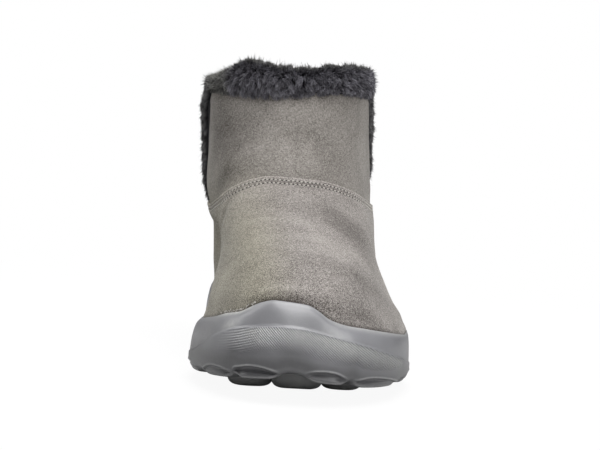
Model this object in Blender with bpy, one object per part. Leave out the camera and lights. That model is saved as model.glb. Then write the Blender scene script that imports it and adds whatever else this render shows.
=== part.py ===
"""A pull-on suede ankle boot with a faux-fur collar, for the left foot.

The boot stands on the floor at z = 0. Its toe points along -Y and its outer side along +X, so
its inner side is at -X. Every surface is read from one lasted form: level sections of the upper
by height, and a clock angle round each section, from 0 at the toe to 180 degrees at the heel,
positive round the outer side and negative round the inner side. Table values are millimetres.
"""

import bmesh
import bpy
import numpy as np

MM = 0.001

# driving sizes
SOLE_LENGTH = 268.0
BALL_WIDTH = 103.5
SHAFT_TOP = 140.0
INWARD_LEAN = 0.028      # of the shaft toward the inner side, for each unit of height
LEAN_STARTS = 40.0
WALL = 5.5
GAP = 0.3
POD_GAP = 0.45
INSOLE_THICKNESS = 5.0
POINTS_ROUND = 64

# stations along a section, as shares of its length from the front
BALL_IN_AT = 0.26
BALL_OUT_AT = 0.33
WAIST_AT = 0.58
HEEL_AT = 0.80
TOE_SWING_ENDS = 0.55

# the lasted form: one row for each level section of the upper's outer face
SECTION_COLUMNS = ("height", "front y", "front x", "back y", "ball in", "ball out",
                   "waist in", "waist out", "heel", "fullness")
UPPER_SECTIONS = (
    (16.0, -119.0, -6.0, 123.0, 39.5, 47.5, 30.0, 34.5, 30.0, 2.50),    # feather edge
    (21.0, -121.8, -6.2, 124.5, 42.6, 50.9, 31.5, 36.5, 31.3, 2.50),    # under the outer rim
    (25.5, -124.0, -6.3, 125.8, 43.6, 52.6, 32.8, 38.2, 32.4, 2.50),    # outer rim of the sole
    (30.0, -125.6, -6.4, 126.8, 42.5, 50.6, 33.5, 39.0, 33.1, 2.50),    # over the ball
    (33.0, -126.5, -6.5, 127.5, 41.5, 49.3, 33.8, 39.5, 33.5, 2.50),    # rim of the sole
    (39.0, -125.3, -6.5, 128.1, 40.3, 45.2, 33.7, 39.5, 34.0, 2.45),    # toe wall
    (46.0, -122.5, -6.5, 128.5, 38.3, 41.9, 33.5, 39.5, 34.5, 2.40),    # toe box
    (57.0, -110.0, -6.0, 127.5, 34.5, 37.8, 33.9, 40.0, 34.5, 2.30),    # toe top
    (65.0, -90.0, -6.0, 125.0, 33.0, 36.9, 36.7, 40.9, 34.0, 2.15),     # ball of the foot
    (72.5, -66.0, -5.5, 122.0, 33.4, 36.9, 40.2, 41.6, 33.5, 2.05),     # waist
    (81.0, -41.0, -5.0, 118.5, 34.5, 37.0, 41.0, 41.4, 33.5, 2.00),     # instep
    (91.0, -18.0, -4.5, 115.5, 35.5, 37.0, 40.6, 41.2, 33.5, 2.00),     # vamp seam
    (102.0, -3.5, -3.5, 114.0, 36.3, 37.5, 40.0, 41.2, 33.5, 2.05),     # ankle bend
    (115.0, 4.5, -2.0, 114.0, 37.0, 38.0, 40.0, 41.2, 33.5, 2.10),      # shaft
    (128.0, 7.5, -1.0, 115.0, 37.4, 38.4, 40.0, 41.4, 33.8, 2.10),      # under the collar
    (140.0, 9.0, 0.0, 116.5, 37.4, 38.4, 40.0, 41.6, 34.0, 2.10),       # top edge
)

# the sole's widest outline, in the same columns without the height
SOLE_OUTLINE = (-SOLE_LENGTH / 2, -6.5, SOLE_LENGTH / 2, 49.0, BALL_WIDTH - 49.0,
                36.7, 43.5, 37.5, 2.50)

# top face of the midsole, which the foot stands on
FOOTBED_COLUMNS = ("y", "height")
FOOTBED = (
    (-134.0, 29.0),
    (-100.0, 21.5),
    (-60.0, 17.5),
    (-20.0, 19.0),
    (30.0, 24.0),
    (80.0, 28.0),
    (134.0, 29.5),
)

# top edge of the sole round the upper: hump over the toe, low at the ball, high at the heel
RIM_COLUMNS = ("clock angle", "height")
RIM = (
    (-180.0, 44.0),
    (-135.0, 36.0),
    (-98.0, 28.4),
    (-78.0, 27.0),
    (-58.0, 31.5),
    (-43.0, 36.2),
    (-32.0, 38.8),
    (-26.0, 41.4),
    (-19.0, 44.2),
    (-11.0, 45.7),
    (-3.0, 45.4),
    (3.0, 44.4),
    (7.0, 42.3),
    (12.0, 38.6),
    (20.0, 35.9),
    (30.0, 34.0),
    (45.0, 30.8),
    (57.0, 28.0),
    (66.0, 26.1),
    (76.0, 25.6),
    (98.0, 27.0),
    (135.0, 37.0),
    (180.0, 44.0),
)

# lower edge of the midsole's side wall, and the recessed underside that carries the pods
UNDERSIDE_COLUMNS = ("y", "edge in", "edge out", "middle")
UNDERSIDE = (
    (-134.0, 11.6, 10.4, 15.4),
    (-128.0, 10.9, 9.7, 14.6),
    (-118.0, 9.6, 7.9, 13.0),
    (-100.0, 7.8, 6.4, 11.0),
    (-80.0, 6.2, 5.4, 9.8),
    (-60.0, 4.8, 4.2, 8.8),
    (-40.0, 3.6, 3.2, 7.6),
    (-10.0, 3.6, 3.2, 8.0),
    (18.0, 7.5, 5.0, 11.0),
    (42.0, 4.6, 3.4, 8.6),
    (64.0, 1.6, 1.4, 6.2),
    (100.0, 1.0, 1.0, 5.4),
    (120.0, 2.6, 2.6, 7.0),
    (134.0, 7.5, 7.5, 11.0),
)
LOBES_ROUND = 16
LOBE_RISE = 2.2

# side wall of the sole: how far out from the upper to the outline, and how far down from rim to edge
SIDE_WALL_COLUMNS = ("share out", "share down")
SIDE_WALL = (
    (0.14, 0.00),
    (0.50, 0.07),
    (0.78, 0.24),
    (0.95, 0.48),
    (1.00, 0.68),
    (0.95, 0.86),
)
EDGE_COLUMNS = ("inset", "share up to underside")
EDGE_RING = (
    (2.2, 0.45),
    (6.0, 0.12),
    (10.0, 0.00),
    (14.5, 1.00),
)
UNDERSIDE_RINGS = (0.86, 0.72, 0.58, 0.44, 0.30, 0.15)
FOOTBED_RINGS = (0.78, 0.52, 0.24)
CUP_LEVELS = (0.0, 0.34, 0.67, 1.0)
UPPER_LEVELS = (0.05, 0.10, 0.155, 0.21, 0.27, 0.33, 0.40, 0.48, 0.58, 0.70, 0.84, 1.0)

# rolled fur collar: out from the upper's outer face, and its height above the wall's top edge
COLLAR_COLUMNS = ("out", "up")
COLLAR_PROFILE = (
    (GAP, -9.0),
    (2.0, -8.0),
    (2.9, -3.5),
    (2.6, 2.0),
    (0.4, 6.2),
    (-3.0, 8.0),
    (-7.4, 6.6),
    (-9.8, 2.0),
    (-10.0, -6.0),
    (-WALL - GAP, -14.0),
    (-WALL - GAP, GAP),
    (GAP, GAP),
)
COLLAR_ROUND_COLUMNS = ("clock angle", "rise of the top", "share of the outward swell")
COLLAR_ROUND = (
    (-180.0, -4.0, 1.0),
    (-135.0, -2.6, 1.0),
    (-90.0, -3.4, 1.0),
    (-69.0, -3.0, 1.0),
    (-52.0, -0.4, 1.0),
    (-38.0, 1.2, 1.0),
    (0.0, -0.8, 1.0),
    (29.0, 0.9, 0.95),
    (43.0, 0.9, 0.85),
    (60.0, 0.2, 0.6),
    (75.0, -0.8, 0.5),
    (110.0, -1.6, 0.7),
    (180.0, -4.0, 1.0),
)

# fur gusset: the V of pile in each side of the shaft
GUSSET_TOP = 130.5
GUSSET_CENTRE_Y = 58.0
GUSSET_HALF_WIDTH = 13.0
GUSSET_POINT_HALF_WIDTH = 1.6
GUSSET_EDGE = 0.8
GUSSET_ROWS = 9
GUSSET_ACROSS = 7
GUSSET_COLUMNS = ("name", "side", "height of the point", "rise")
GUSSETS = (
    ("fur_gusset_inner", -1.0, 75.0, 3.2),
    ("fur_gusset_outer", 1.0, 86.0, 1.3),
)

# outsole pods: centre, size across and along
POD_COLUMNS = ("name", "x", "y", "width", "length")
PODS = (
    ("outsole_pod_toe_inner", -23.3, -73.5, 21.5, 24.0),
    ("outsole_pod_toe_middle", -2.6, -84.5, 23.8, 25.0),
    ("outsole_pod_toe_outer", 19.2, -70.5, 19.8, 25.0),
    ("outsole_pod_ball_inner", -22.5, -47.5, 21.5, 27.0),
    ("outsole_pod_ball_middle", 1.0, -47.5, 21.5, 28.0),
    ("outsole_pod_ball_outer", 24.5, -41.5, 21.5, 28.0),
    ("outsole_pod_waist_inner", -14.0, -18.0, 21.5, 25.0),
    ("outsole_pod_waist_outer", 10.5, -15.0, 21.5, 26.0),
    ("outsole_pod_heel_front_inner", -10.4, 62.0, 17.5, 26.0),
    ("outsole_pod_heel_front_outer", 10.4, 62.0, 17.5, 26.0),
    ("outsole_pod_heel_back_inner", -8.8, 89.0, 14.5, 23.0),
    ("outsole_pod_heel_back_outer", 8.8, 89.0, 14.5, 23.0),
)
POD_SIDES = 16
# share of the radius, share of the height: a domed tread that is flat in the middle
POD_PROFILE = ((0.50, 0.00), (0.80, 0.10), (0.97, 0.36), (1.00, 1.00))
POD_GROUND = ((-134.0, 12.0), (-92.0, 2.6), (-76.0, 0.8), (-62.0, 0.0), (134.0, 0.0))

# colours, roughness
SUEDE = ((0.285, 0.262, 0.235), 0.95)
FUR = ((0.045, 0.043, 0.052), 1.0)
FOAM = ((0.225, 0.226, 0.240), 0.60)
RUBBER = ((0.040, 0.040, 0.043), 0.70)
FOOTBED_CLOTH = ((0.060, 0.058, 0.066), 1.0)


def smooth(at, rows):
    """Columns of a table read at the values in its first column, by a cubic that never overshoots."""
    table = np.asarray(rows, dtype=float)
    knots = table[:, 0]
    values = table[:, 1:]
    steps = np.diff(knots)[:, None]
    rises = np.diff(values, axis=0) / steps
    before = rises[:-1]
    after = rises[1:]
    same_way = before * after > 0
    total = np.where(same_way, before + after, 1.0)
    inner_slopes = np.where(same_way, 2 * before * after / total, 0.0)
    slopes = np.vstack([rises[:1], inner_slopes, rises[-1:]])
    at = np.clip(np.asarray(at, dtype=float), knots[0], knots[-1])
    k = np.clip(np.searchsorted(knots, at, side="right") - 1, 0, len(knots) - 2)
    step = steps[k]
    s = ((at - knots[k]) / step[..., 0])[..., None]
    return ((1 + 2 * s) * (1 - s) ** 2 * values[k] + s * (1 - s) ** 2 * step * slopes[k]
            + s * s * (3 - 2 * s) * values[k + 1] + s * s * (s - 1) * step * slopes[k + 1])


def ease(share):
    """Goes from 0 to 1 with level ends."""
    share = np.clip(share, 0.0, 1.0)
    return share * share * (3 - 2 * share)


def end_round(along, fullness):
    """Half width of a round-ended section of unit width, by share of its length."""
    off_middle = np.abs(2 * along - 1)
    return (1 - off_middle ** fullness) ** (1 / fullness)


def outline(section, clock):
    """x and y on a level section at clock angles, from the section's columns."""
    front_y, front_x, back_y, ball_in, ball_out, waist_in, waist_out, heel, fullness = section
    angle = np.radians(clock)
    power = 2 / fullness
    along = (1 - np.sign(np.cos(angle)) * np.abs(np.cos(angle)) ** power) / 2
    half_round = np.abs(np.sin(angle)) ** power
    inner = np.sin(angle) < 0
    ball_at = np.where(inner, BALL_IN_AT, BALL_OUT_AT)
    ball = np.where(inner, ball_in, ball_out) / end_round(ball_at, fullness)
    waist = np.where(inner, waist_in, waist_out) / end_round(WAIST_AT, fullness)
    rear = heel / end_round(HEEL_AT, fullness)
    ball_share = 1 - ease((along - ball_at) / (WAIST_AT - ball_at))
    heel_share = ease((along - WAIST_AT) / (HEEL_AT - WAIST_AT))
    half = half_round * (ball * ball_share + rear * heel_share
                         + waist * (1 - ball_share - heel_share))
    swing = front_x * np.clip(1 - along / TOE_SWING_ENDS, 0, 1) ** 2
    x = swing + np.where(inner, -half, half)
    y = front_y + along * (back_y - front_y)
    return x, y


def upper_face(clock, height):
    """Points on the upper's outer face at clock angles and heights."""
    clock, height = np.broadcast_arrays(np.asarray(clock, float), np.asarray(height, float))
    section = np.moveaxis(smooth(height, UPPER_SECTIONS), -1, 0)
    x, y = outline(section, clock)
    lean = INWARD_LEAN * np.maximum(height - LEAN_STARTS, 0.0)
    return np.stack([x - lean, y, height], axis=-1)


def outward(clock, height):
    """Unit normals of the upper's outer face, from its slopes round and up."""
    round_way = upper_face(clock + 0.5, height) - upper_face(clock - 0.5, height)
    up_way = upper_face(clock, height + 0.4) - upper_face(clock, height - 0.4)
    normal = np.cross(round_way, up_way)
    return normal / np.linalg.norm(normal, axis=-1, keepdims=True)


def offset_face(clock, height, out):
    """The upper's outer face moved outward by a distance."""
    return upper_face(clock, height) + outward(clock, height) * np.asarray(out)[..., None]


def level_offset(clock, height, out):
    """The upper's outer face moved outward at the same height."""
    normal = outward(clock, height)
    normal[..., 2] = 0
    normal /= np.linalg.norm(normal, axis=-1, keepdims=True)
    return upper_face(clock, height) + normal * np.asarray(out, float)[..., None]


def footbed(y):
    return smooth(y, FOOTBED)[..., 0]


def on_footbed(clock, out, rise):
    """A ring standing on the midsole's inner floor, offset from the upper's outer face."""
    height = np.full(clock.shape, 20.0)
    for _ in range(6):
        ring = level_offset(clock, height, out)
        height = footbed(ring[:, 1])
    ring[:, 2] = height + rise
    return ring


def rim_height(clock):
    return smooth(clock, RIM)[..., 0]


def shrunk(ring, share, surface):
    """A ring drawn in toward its middle and laid on a surface that is a height by y."""
    middle = ring.mean(axis=0)
    smaller = middle + (ring - middle) * share
    smaller[:, 2] = surface(smaller[:, 1])
    return smaller


def clock_points():
    """Clock angles all round, from the heel along the inner side, over the toe and back."""
    step = 360.0 / POINTS_ROUND
    return np.arange(POINTS_ROUND) * step - 180.0 + step / 2


def skin(rings, joined):
    """Faces between rings of points. The rings close on themselves, or end in two flat caps."""
    count, points = rings.shape[:2]
    corner = np.arange(points)
    following = np.roll(corner, -1)
    faces = []
    for k in range(count if joined else count - 1):
        here = k * points
        there = (k + 1) % count * points
        faces += np.stack([here + corner, here + following, there + following,
                           there + corner], axis=1).tolist()
    if not joined:
        faces.append(corner[::-1].tolist())
        faces.append(((count - 1) * points + corner).tolist())
    return rings.reshape(-1, 3), faces


def material(name, look):
    colour, roughness = look
    made = bpy.data.materials.new(name)
    made.use_nodes = True
    shader = made.node_tree.nodes["Principled BSDF"]
    shader.inputs["Base Color"].default_value = (*colour, 1.0)
    shader.inputs["Roughness"].default_value = roughness
    shader.inputs["Metallic"].default_value = 0.0
    made.diffuse_color = (*colour, 1.0)
    return made


def sole_middle_x():
    """Middle of the sole's width, which the boot is centred on."""
    x, _ = outline(SOLE_OUTLINE, clock_points())
    return (x.min() + x.max()) / 2


def add_object(name, mesh, look, collection):
    mesh.materials.append(material(name, look))
    mesh.shade_smooth()
    mesh.set_sharp_from_angle(angle=np.radians(40))
    thing = bpy.data.objects.new(name, mesh)
    thing.location.x = -sole_middle_x() * MM
    collection.objects.link(thing)
    return thing


def loft(name, rings, joined, look, collection):
    """One closed solid through rings given in millimetres."""
    points, faces = skin(np.asarray(rings), joined)
    mesh = bpy.data.meshes.new(name)
    mesh.from_pydata((points * MM).tolist(), [], faces)
    shape = bmesh.new()
    shape.from_mesh(mesh)
    if shape.calc_volume(signed=True) < 0:
        bmesh.ops.reverse_faces(shape, faces=shape.faces)
    bmesh.ops.triangulate(shape, faces=[f for f in shape.faces if len(f.verts) > 4])
    shape.to_mesh(mesh)
    shape.free()
    return add_object(name, mesh, look, collection)


def cup_heights(clock):
    """Levels of the wall from the inner floor up to the sole's rim."""
    low = on_footbed(clock, 0.0, GAP)[:, 2]
    high = rim_height(clock)
    return [low + (high - low) * share for share in CUP_LEVELS]


def make_upper(collection):
    """The hollow lasted wall, open at the top and underneath: outer face up, inner face down."""
    clock = clock_points()
    heights = cup_heights(clock)
    rim = heights[-1]
    heights += [rim + (SHAFT_TOP - rim) * share for share in UPPER_LEVELS]
    outer = [on_footbed(clock, 0.0, GAP)]
    outer += [upper_face(clock, height) for height in heights[1:]]
    inner = [on_footbed(clock, -WALL, GAP)]
    inner += [offset_face(clock, height, np.full(clock.shape, -WALL)) for height in heights[1:-1]]
    inner += [level_offset(clock, heights[-1], -WALL)]
    loft("upper", outer + inner[::-1], True, SUEDE, collection)


def lobes(clock):
    """0 at the middle of each moulded lobe and 1 in the notch between two."""
    return np.abs(np.sin(np.radians(clock) * LOBES_ROUND / 2)) ** 3


def make_midsole(collection):
    """Cup with an inner floor, a side wall that rises over the toe, and a recessed underside."""
    clock = clock_points()
    rim = rim_height(clock)
    foot = on_footbed(clock, -WALL, 0.0)
    insole_edge = on_footbed(clock, -WALL - GAP, 0.0)
    rings = [shrunk(insole_edge, share, footbed) for share in FOOTBED_RINGS[::-1]]
    rings += [insole_edge, foot, on_footbed(clock, GAP, 0.0)]
    rings += [level_offset(clock, height, GAP) for height in cup_heights(clock)[1:]]
    x, y = outline(SOLE_OUTLINE, clock)
    edge_in, edge_out, _ = np.moveaxis(smooth(y, UNDERSIDE), -1, 0)
    out_share = ease((x + 20.0) / 40.0)
    edge = edge_in + (edge_out - edge_in) * out_share + LOBE_RISE * lobes(clock)
    widest = np.stack([x, y, edge], axis=-1)
    top = rings[-1]
    for share_out, share_down in SIDE_WALL:
        ring = top + (widest - top) * share_out
        ring[:, 2] = rim + (edge - rim) * share_down
        rings.append(ring)
    around = np.roll(widest, -1, axis=0) - np.roll(widest, 1, axis=0)
    inward = np.stack([-around[:, 1], around[:, 0], 0 * around[:, 0]], axis=-1)
    inward /= np.linalg.norm(inward, axis=-1, keepdims=True)
    for inset, share_up in EDGE_RING:
        ring = widest + inward * inset
        ring[:, 2] = edge + (underside(ring[:, 1]) - edge) * share_up
        rings.append(ring)
    under = rings[-1]
    rings += [shrunk(under, share, underside) for share in UNDERSIDE_RINGS]
    loft("midsole", rings, False, FOAM, collection)


def underside(y):
    """Height of the recessed underside inside the ring of lobes."""
    return smooth(y, UNDERSIDE)[..., 2]


def make_insole(collection):
    """Footbed lying on the midsole's inner floor, inside the upper."""
    clock = clock_points()
    low = on_footbed(clock, -WALL - GAP, GAP)
    rings = [shrunk(low, share, lambda y: footbed(y) + GAP) for share in FOOTBED_RINGS[::-1]]
    high = shrunk(low, 0.985, lambda y: footbed(y) + INSOLE_THICKNESS)
    side = low.copy()
    side[:, 2] += INSOLE_THICKNESS - 1.2
    rings += [low, side, high]
    rings += [shrunk(low, share, lambda y: footbed(y) + INSOLE_THICKNESS) for share in FOOTBED_RINGS]
    loft("insole", rings, False, FOOTBED_CLOTH, collection)


def make_collar(collection):
    """Roll of fur that saddles the wall's top edge, highest at its two front shoulders."""
    clock = clock_points()
    rise, swell = np.moveaxis(smooth(clock, COLLAR_ROUND), -1, 0)
    highest = max(up for out, up in COLLAR_PROFILE)
    rings = []
    for out, up in COLLAR_PROFILE:
        out = np.where(out > GAP, GAP + (out - GAP) * swell, out)
        ring = level_offset(clock, np.full(clock.shape, SHAFT_TOP + min(up, 0.0)), out)
        ring[:, 2] = SHAFT_TOP + up + rise * max(up, 0.0) / highest
        rings.append(ring)
    loft("fur_collar", rings, True, FUR, collection)


def clock_at(y, height, side):
    """Clock angle of the point at a length y on one side of the upper."""
    section = np.moveaxis(smooth(height, UPPER_SECTIONS), -1, 0)
    front_y, back_y, fullness = section[0], section[2], section[8]
    ahead = 1 - 2 * (y - front_y) / (back_y - front_y)
    cosine = np.sign(ahead) * np.abs(ahead) ** (fullness / 2)
    return side * np.degrees(np.arccos(cosine))


def make_gusset(name, side, point, rise, collection):
    """Pad of pile in the V slit, proud of the wall along its middle and thin at its edges."""
    share = np.linspace(0, 1, GUSSET_ROWS)
    across = np.linspace(-1, 1, GUSSET_ACROSS)
    height = GUSSET_TOP + (point - GUSSET_TOP) * share
    half = GUSSET_POINT_HALF_WIDTH + (GUSSET_HALF_WIDTH - GUSSET_POINT_HALF_WIDTH) * (1 - share)
    rings = []
    for k in range(GUSSET_ROWS):
        y = GUSSET_CENTRE_Y + across * half[k]
        level = np.full(across.shape, height[k])
        clock = clock_at(y, level, side)
        fullness = np.sqrt(1 - (across * 0.98) ** 2) * np.sqrt(half[k] / GUSSET_HALF_WIDTH)
        outer = offset_face(clock, level, GAP + GUSSET_EDGE + rise * fullness)
        inner = offset_face(clock, level, np.full(across.shape, GAP))
        rings.append(np.vstack([outer, inner[::-1]]))
    loft(name, rings, False, FUR, collection)


def make_pod(name, x, y, width, length, collection):
    """Oval rubber pod: a domed tread with a flat middle, its top following the midsole."""
    turn = 2 * np.pi * np.arange(POD_SIDES) / POD_SIDES
    rings = []
    for radius, share in POD_PROFILE:
        along = y - radius * length / 2 * np.cos(turn)
        ground = smooth(along, POD_GROUND)[..., 0]
        high = underside(along) - POD_GAP
        rings.append(np.stack([x + radius * width / 2 * np.sin(turn), along,
                               ground + (high - ground) * share], axis=-1))
    loft(name, rings, False, RUBBER, collection)


def main():
    for thing in list(bpy.data.objects):
        bpy.data.objects.remove(thing, do_unlink=True)
    collection = bpy.data.collections.new("ankle_boot")
    bpy.context.scene.collection.children.link(collection)
    make_midsole(collection)
    make_insole(collection)
    make_upper(collection)
    make_collar(collection)
    for row in GUSSETS:
        make_gusset(*row, collection)
    for row in PODS:
        make_pod(*row, collection)


main()
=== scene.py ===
import math

import bpy
import numpy as np
from mathutils import Matrix, Vector


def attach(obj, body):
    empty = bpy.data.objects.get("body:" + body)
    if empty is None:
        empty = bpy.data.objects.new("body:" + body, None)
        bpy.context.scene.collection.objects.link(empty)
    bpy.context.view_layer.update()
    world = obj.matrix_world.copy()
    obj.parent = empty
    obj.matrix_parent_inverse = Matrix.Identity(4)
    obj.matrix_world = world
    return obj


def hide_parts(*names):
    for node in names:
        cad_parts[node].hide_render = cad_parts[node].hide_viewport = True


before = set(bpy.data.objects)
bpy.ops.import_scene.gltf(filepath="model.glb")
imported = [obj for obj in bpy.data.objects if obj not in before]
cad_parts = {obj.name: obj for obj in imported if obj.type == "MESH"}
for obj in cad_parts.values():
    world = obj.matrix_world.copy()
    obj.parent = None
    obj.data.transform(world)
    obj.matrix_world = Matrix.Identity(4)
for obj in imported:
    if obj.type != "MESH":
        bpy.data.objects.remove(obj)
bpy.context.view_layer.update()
print("frame loaded:", len(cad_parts), "CAD pieces")

millimetre = 0.001

# the lasted form that every piece is read from, in millimetres
form = {
    "ballInAt": 0.26, "ballOutAt": 0.33, "waistAt": 0.58, "heelAt": 0.80,    # stations along a section
    "toeSwingEnds": 0.55,
    "inwardLean": 0.028, "leanStarts": 40.0,
    "wall": 5.5, "gap": 0.3, "shaftTop": 140.0,
    # height, front y, front x, back y, ball in, ball out, waist in, waist out, heel, fullness
    "sections": (
        (16, -119, -6, 123, 39.5, 47.5, 30, 34.5, 30, 2.50),
        (21, -121.8, -6.2, 124.5, 42.6, 50.9, 31.5, 36.5, 31.3, 2.50),
        (25.5, -124, -6.3, 125.8, 43.6, 52.6, 32.8, 38.2, 32.4, 2.50),
        (30, -125.6, -6.4, 126.8, 42.5, 50.6, 33.5, 39, 33.1, 2.50),
        (33, -126.5, -6.5, 127.5, 41.5, 49.3, 33.8, 39.5, 33.5, 2.50),
        (39, -125.3, -6.5, 128.1, 40.3, 45.2, 33.7, 39.5, 34, 2.45),
        (46, -122.5, -6.5, 128.5, 38.3, 41.9, 33.5, 39.5, 34.5, 2.40),
        (57, -110, -6, 127.5, 34.5, 37.8, 33.9, 40, 34.5, 2.30), (65, -90, -6, 125, 33, 36.9, 36.7, 40.9, 34, 2.15),
        (72.5, -66, -5.5, 122, 33.4, 36.9, 40.2, 41.6, 33.5, 2.05),
        (81, -41, -5, 118.5, 34.5, 37, 41, 41.4, 33.5, 2.00),
        (91, -18, -4.5, 115.5, 35.5, 37, 40.6, 41.2, 33.5, 2.00),
        (102, -3.5, -3.5, 114, 36.3, 37.5, 40, 41.2, 33.5, 2.05), (115, 4.5, -2, 114, 37, 38, 40, 41.2, 33.5, 2.10),
        (128, 7.5, -1, 115, 37.4, 38.4, 40, 41.4, 33.8, 2.10), (140, 9, 0, 116.5, 37.4, 38.4, 40, 41.6, 34, 2.10)),
    # the sole's widest outline, in the same columns without the height
    "soleOutline": (-134.0, -6.5, 134.0, 49.0, 54.5, 36.7, 43.5, 37.5, 2.50),
    # y, height of the midsole's inner floor
    "footbed": ((-134, 29), (-100, 21.5), (-60, 17.5), (-20, 19), (30, 24), (80, 28), (134, 29.5)),
    # clock angle, height of the sole's rim
    "rim": (
        (-180, 44), (-135, 36), (-98, 28.4), (-78, 27), (-58, 31.5), (-43, 36.2), (-32, 38.8), (-26, 41.4),
        (-19, 44.2), (-11, 45.7), (-3, 45.4), (3, 44.4), (7, 42.3), (12, 38.6), (20, 35.9), (30, 34), (45, 30.8),
        (57, 28), (66, 26.1), (76, 25.6), (98, 27), (135, 37), (180, 44)),
    # clock angle, height of the cut edge where the vamp overlaps the shaft
    "seam": (
        (-180, 84), (-140, 80), (-115, 75.6), (-92, 75.4), (-71, 79.8), (-48.5, 86.5), (-35.5, 90), (-24, 92.5),
        (-12.5, 93.9), (4.5, 93.7), (19.8, 93), (28.5, 92), (38, 90.4), (53.2, 86.8), (69.2, 83), (89.5, 79.2),
        (115, 77.6), (140, 80), (180, 84)),
}


def readTable(at, rows):
    # Columns of a table read at values of its first column, by a cubic whose slopes never overshoot.
    table = np.asarray(rows, dtype=float)
    knots, values = table[:, 0], table[:, 1:]
    rises = np.diff(values, axis=0) / np.diff(knots)[:, None]
    before, after = rises[:-1], rises[1:]
    sameWay = before * after > 0
    inner = np.where(sameWay, 2 * before * after / np.where(sameWay, before + after, 1.0), 0.0)
    slopes = np.vstack([rises[:1], inner, rises[-1:]])
    at = np.clip(np.asarray(at, dtype=float), knots[0], knots[-1])
    k = np.clip(np.searchsorted(knots, at, side="right") - 1, 0, len(knots) - 2)
    step = np.diff(knots)[k][..., None]
    s = (at - knots[k])[..., None] / step
    return ((1 + 2 * s) * (1 - s) ** 2 * values[k] + s * (1 - s) ** 2 * step * slopes[k]
            + s * s * (3 - 2 * s) * values[k + 1] + s * s * (s - 1) * step * slopes[k + 1])


def wrapped(clock):
    # A clock angle brought into -180 to 180.
    return (np.asarray(clock, float) + 180.0) % 360.0 - 180.0


def aroundClock(clock, rows):
    # One value of a table by clock angle.
    return readTable(wrapped(clock), rows)[..., 0]


def ease(share):
    # 3s^2 - 2s^3, which goes from 0 to 1 with level ends.
    share = np.clip(share, 0.0, 1.0)
    return share * share * (3 - 2 * share)


def fading(value, start, span):
    # 1 up to a start, 0 from a span past it, and eased between.
    return 1 - ease((value - start) / span)


def bell(apart, width):
    # exp(-(apart / width)^2)
    return np.exp(-(apart / width) ** 2)


def bells(apart, rows):
    # Sum of bells, each given by its amount, middle and width.
    return sum(amount * bell(apart - middle, width) for amount, middle, width in rows)


def lineAt(at, knots, line):
    # Points of a line read at values of its knots.
    return np.stack([np.interp(at, knots, line[:, axis]) for axis in range(3)], axis=-1)


def runningTotal(steps):
    # The sum of the steps before each place, from 0.
    return np.concatenate([[0.0], np.cumsum(steps)])


def arcLength(points):
    # Length along a line of points, from its first one.
    return runningTotal(np.linalg.norm(np.diff(points, axis=0), axis=-1))


def endRound(along, fullness):
    # Half width of a superellipse of unit half width, by share of its length.
    return (1 - np.abs(2 * along - 1) ** fullness) ** (1 / fullness)


def outline(section, clock):
    # x and y of a level section: a superellipse whose half width is mixed from ball, waist and heel.
    frontY, frontX, backY, ballIn, ballOut, waistIn, waistOut, heel, fullness = section
    angle = np.radians(clock)
    power = 2 / fullness
    along = (1 - np.sign(np.cos(angle)) * np.abs(np.cos(angle)) ** power) / 2
    inside = np.sin(angle) < 0
    ballAt = np.where(inside, form["ballInAt"], form["ballOutAt"])
    ball = np.where(inside, ballIn, ballOut) / endRound(ballAt, fullness)
    waist = np.where(inside, waistIn, waistOut) / endRound(form["waistAt"], fullness)
    rear = heel / endRound(form["heelAt"], fullness)
    ballShare = 1 - ease((along - ballAt) / (form["waistAt"] - ballAt))
    heelShare = ease((along - form["waistAt"]) / (form["heelAt"] - form["waistAt"]))
    half = np.abs(np.sin(angle)) ** power * (ball * ballShare + rear * heelShare
                                             + waist * (1 - ballShare - heelShare))
    x = frontX * np.clip(1 - along / form["toeSwingEnds"], 0, 1) ** 2 + np.where(inside, -half, half)
    return x, frontY + along * (backY - frontY)


def clockColumns(fine, coarse, edge):
    # Clock angles from the heel round to the heel, at a fine step within the edge angle of the toe.
    back = np.arange(-180.0, -edge, coarse)
    return np.concatenate([back, np.arange(-edge, edge, fine), -back[::-1][:-1]])


soleX = outline(form["soleOutline"], np.arange(64) * 5.625 - 177.1875)[0]
middleX = (soleX.min() + soleX.max()) / 2      # the boot is centred on the middle of the sole's width


def together(clock, height):
    # Clock angles and heights as float arrays of one shape.
    return np.broadcast_arrays(np.asarray(clock, float), np.asarray(height, float))


def upperFace(clock, height):
    # Points on the upper's outer face: the section at that height, leaning inward as it rises.
    clock, height = together(clock, height)
    x, y = outline(np.moveaxis(readTable(height, form["sections"]), -1, 0), clock)
    lean = form["inwardLean"] * np.maximum(height - form["leanStarts"], 0.0)
    return np.stack([x - lean - middleX, y, height], axis=-1)


def unit(vectors):
    # Vectors divided by their lengths.
    return vectors / np.maximum(np.linalg.norm(vectors, axis=-1, keepdims=True), 1e-9)


def outward(clock, height):
    # Unit normals of the outer face: slope round crossed with slope up.
    clock, height = together(clock, height)
    roundWay = upperFace(clock + 0.5, height) - upperFace(clock - 0.5, height)
    upWay = upperFace(clock, height + 0.4) - upperFace(clock, height - 0.4)
    return unit(np.cross(roundWay, upWay))


def offsetFace(clock, height, out):
    # The outer face moved along its normals.
    return upperFace(clock, height) + outward(clock, height) * np.asarray(out, float)[..., None]


def levelOffset(clock, height, out):
    # The outer face moved outward at the same height.
    flat = outward(clock, height) * (1.0, 1.0, 0.0)
    return upperFace(clock, height) + unit(flat) * np.asarray(out, float)[..., None]


def turnedWays(normal, angle):
    # Directions along and across, lying in a surface, at an angle in radians from level.
    level = unit(np.cross([0.0, 0.0, 1.0], normal))
    rise = np.cross(normal, level)
    return level * np.cos(angle) + rise * np.sin(angle), rise * np.cos(angle) - level * np.sin(angle)


def footbedHeight(y):
    return readTable(y, form["footbed"])[..., 0]


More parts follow.
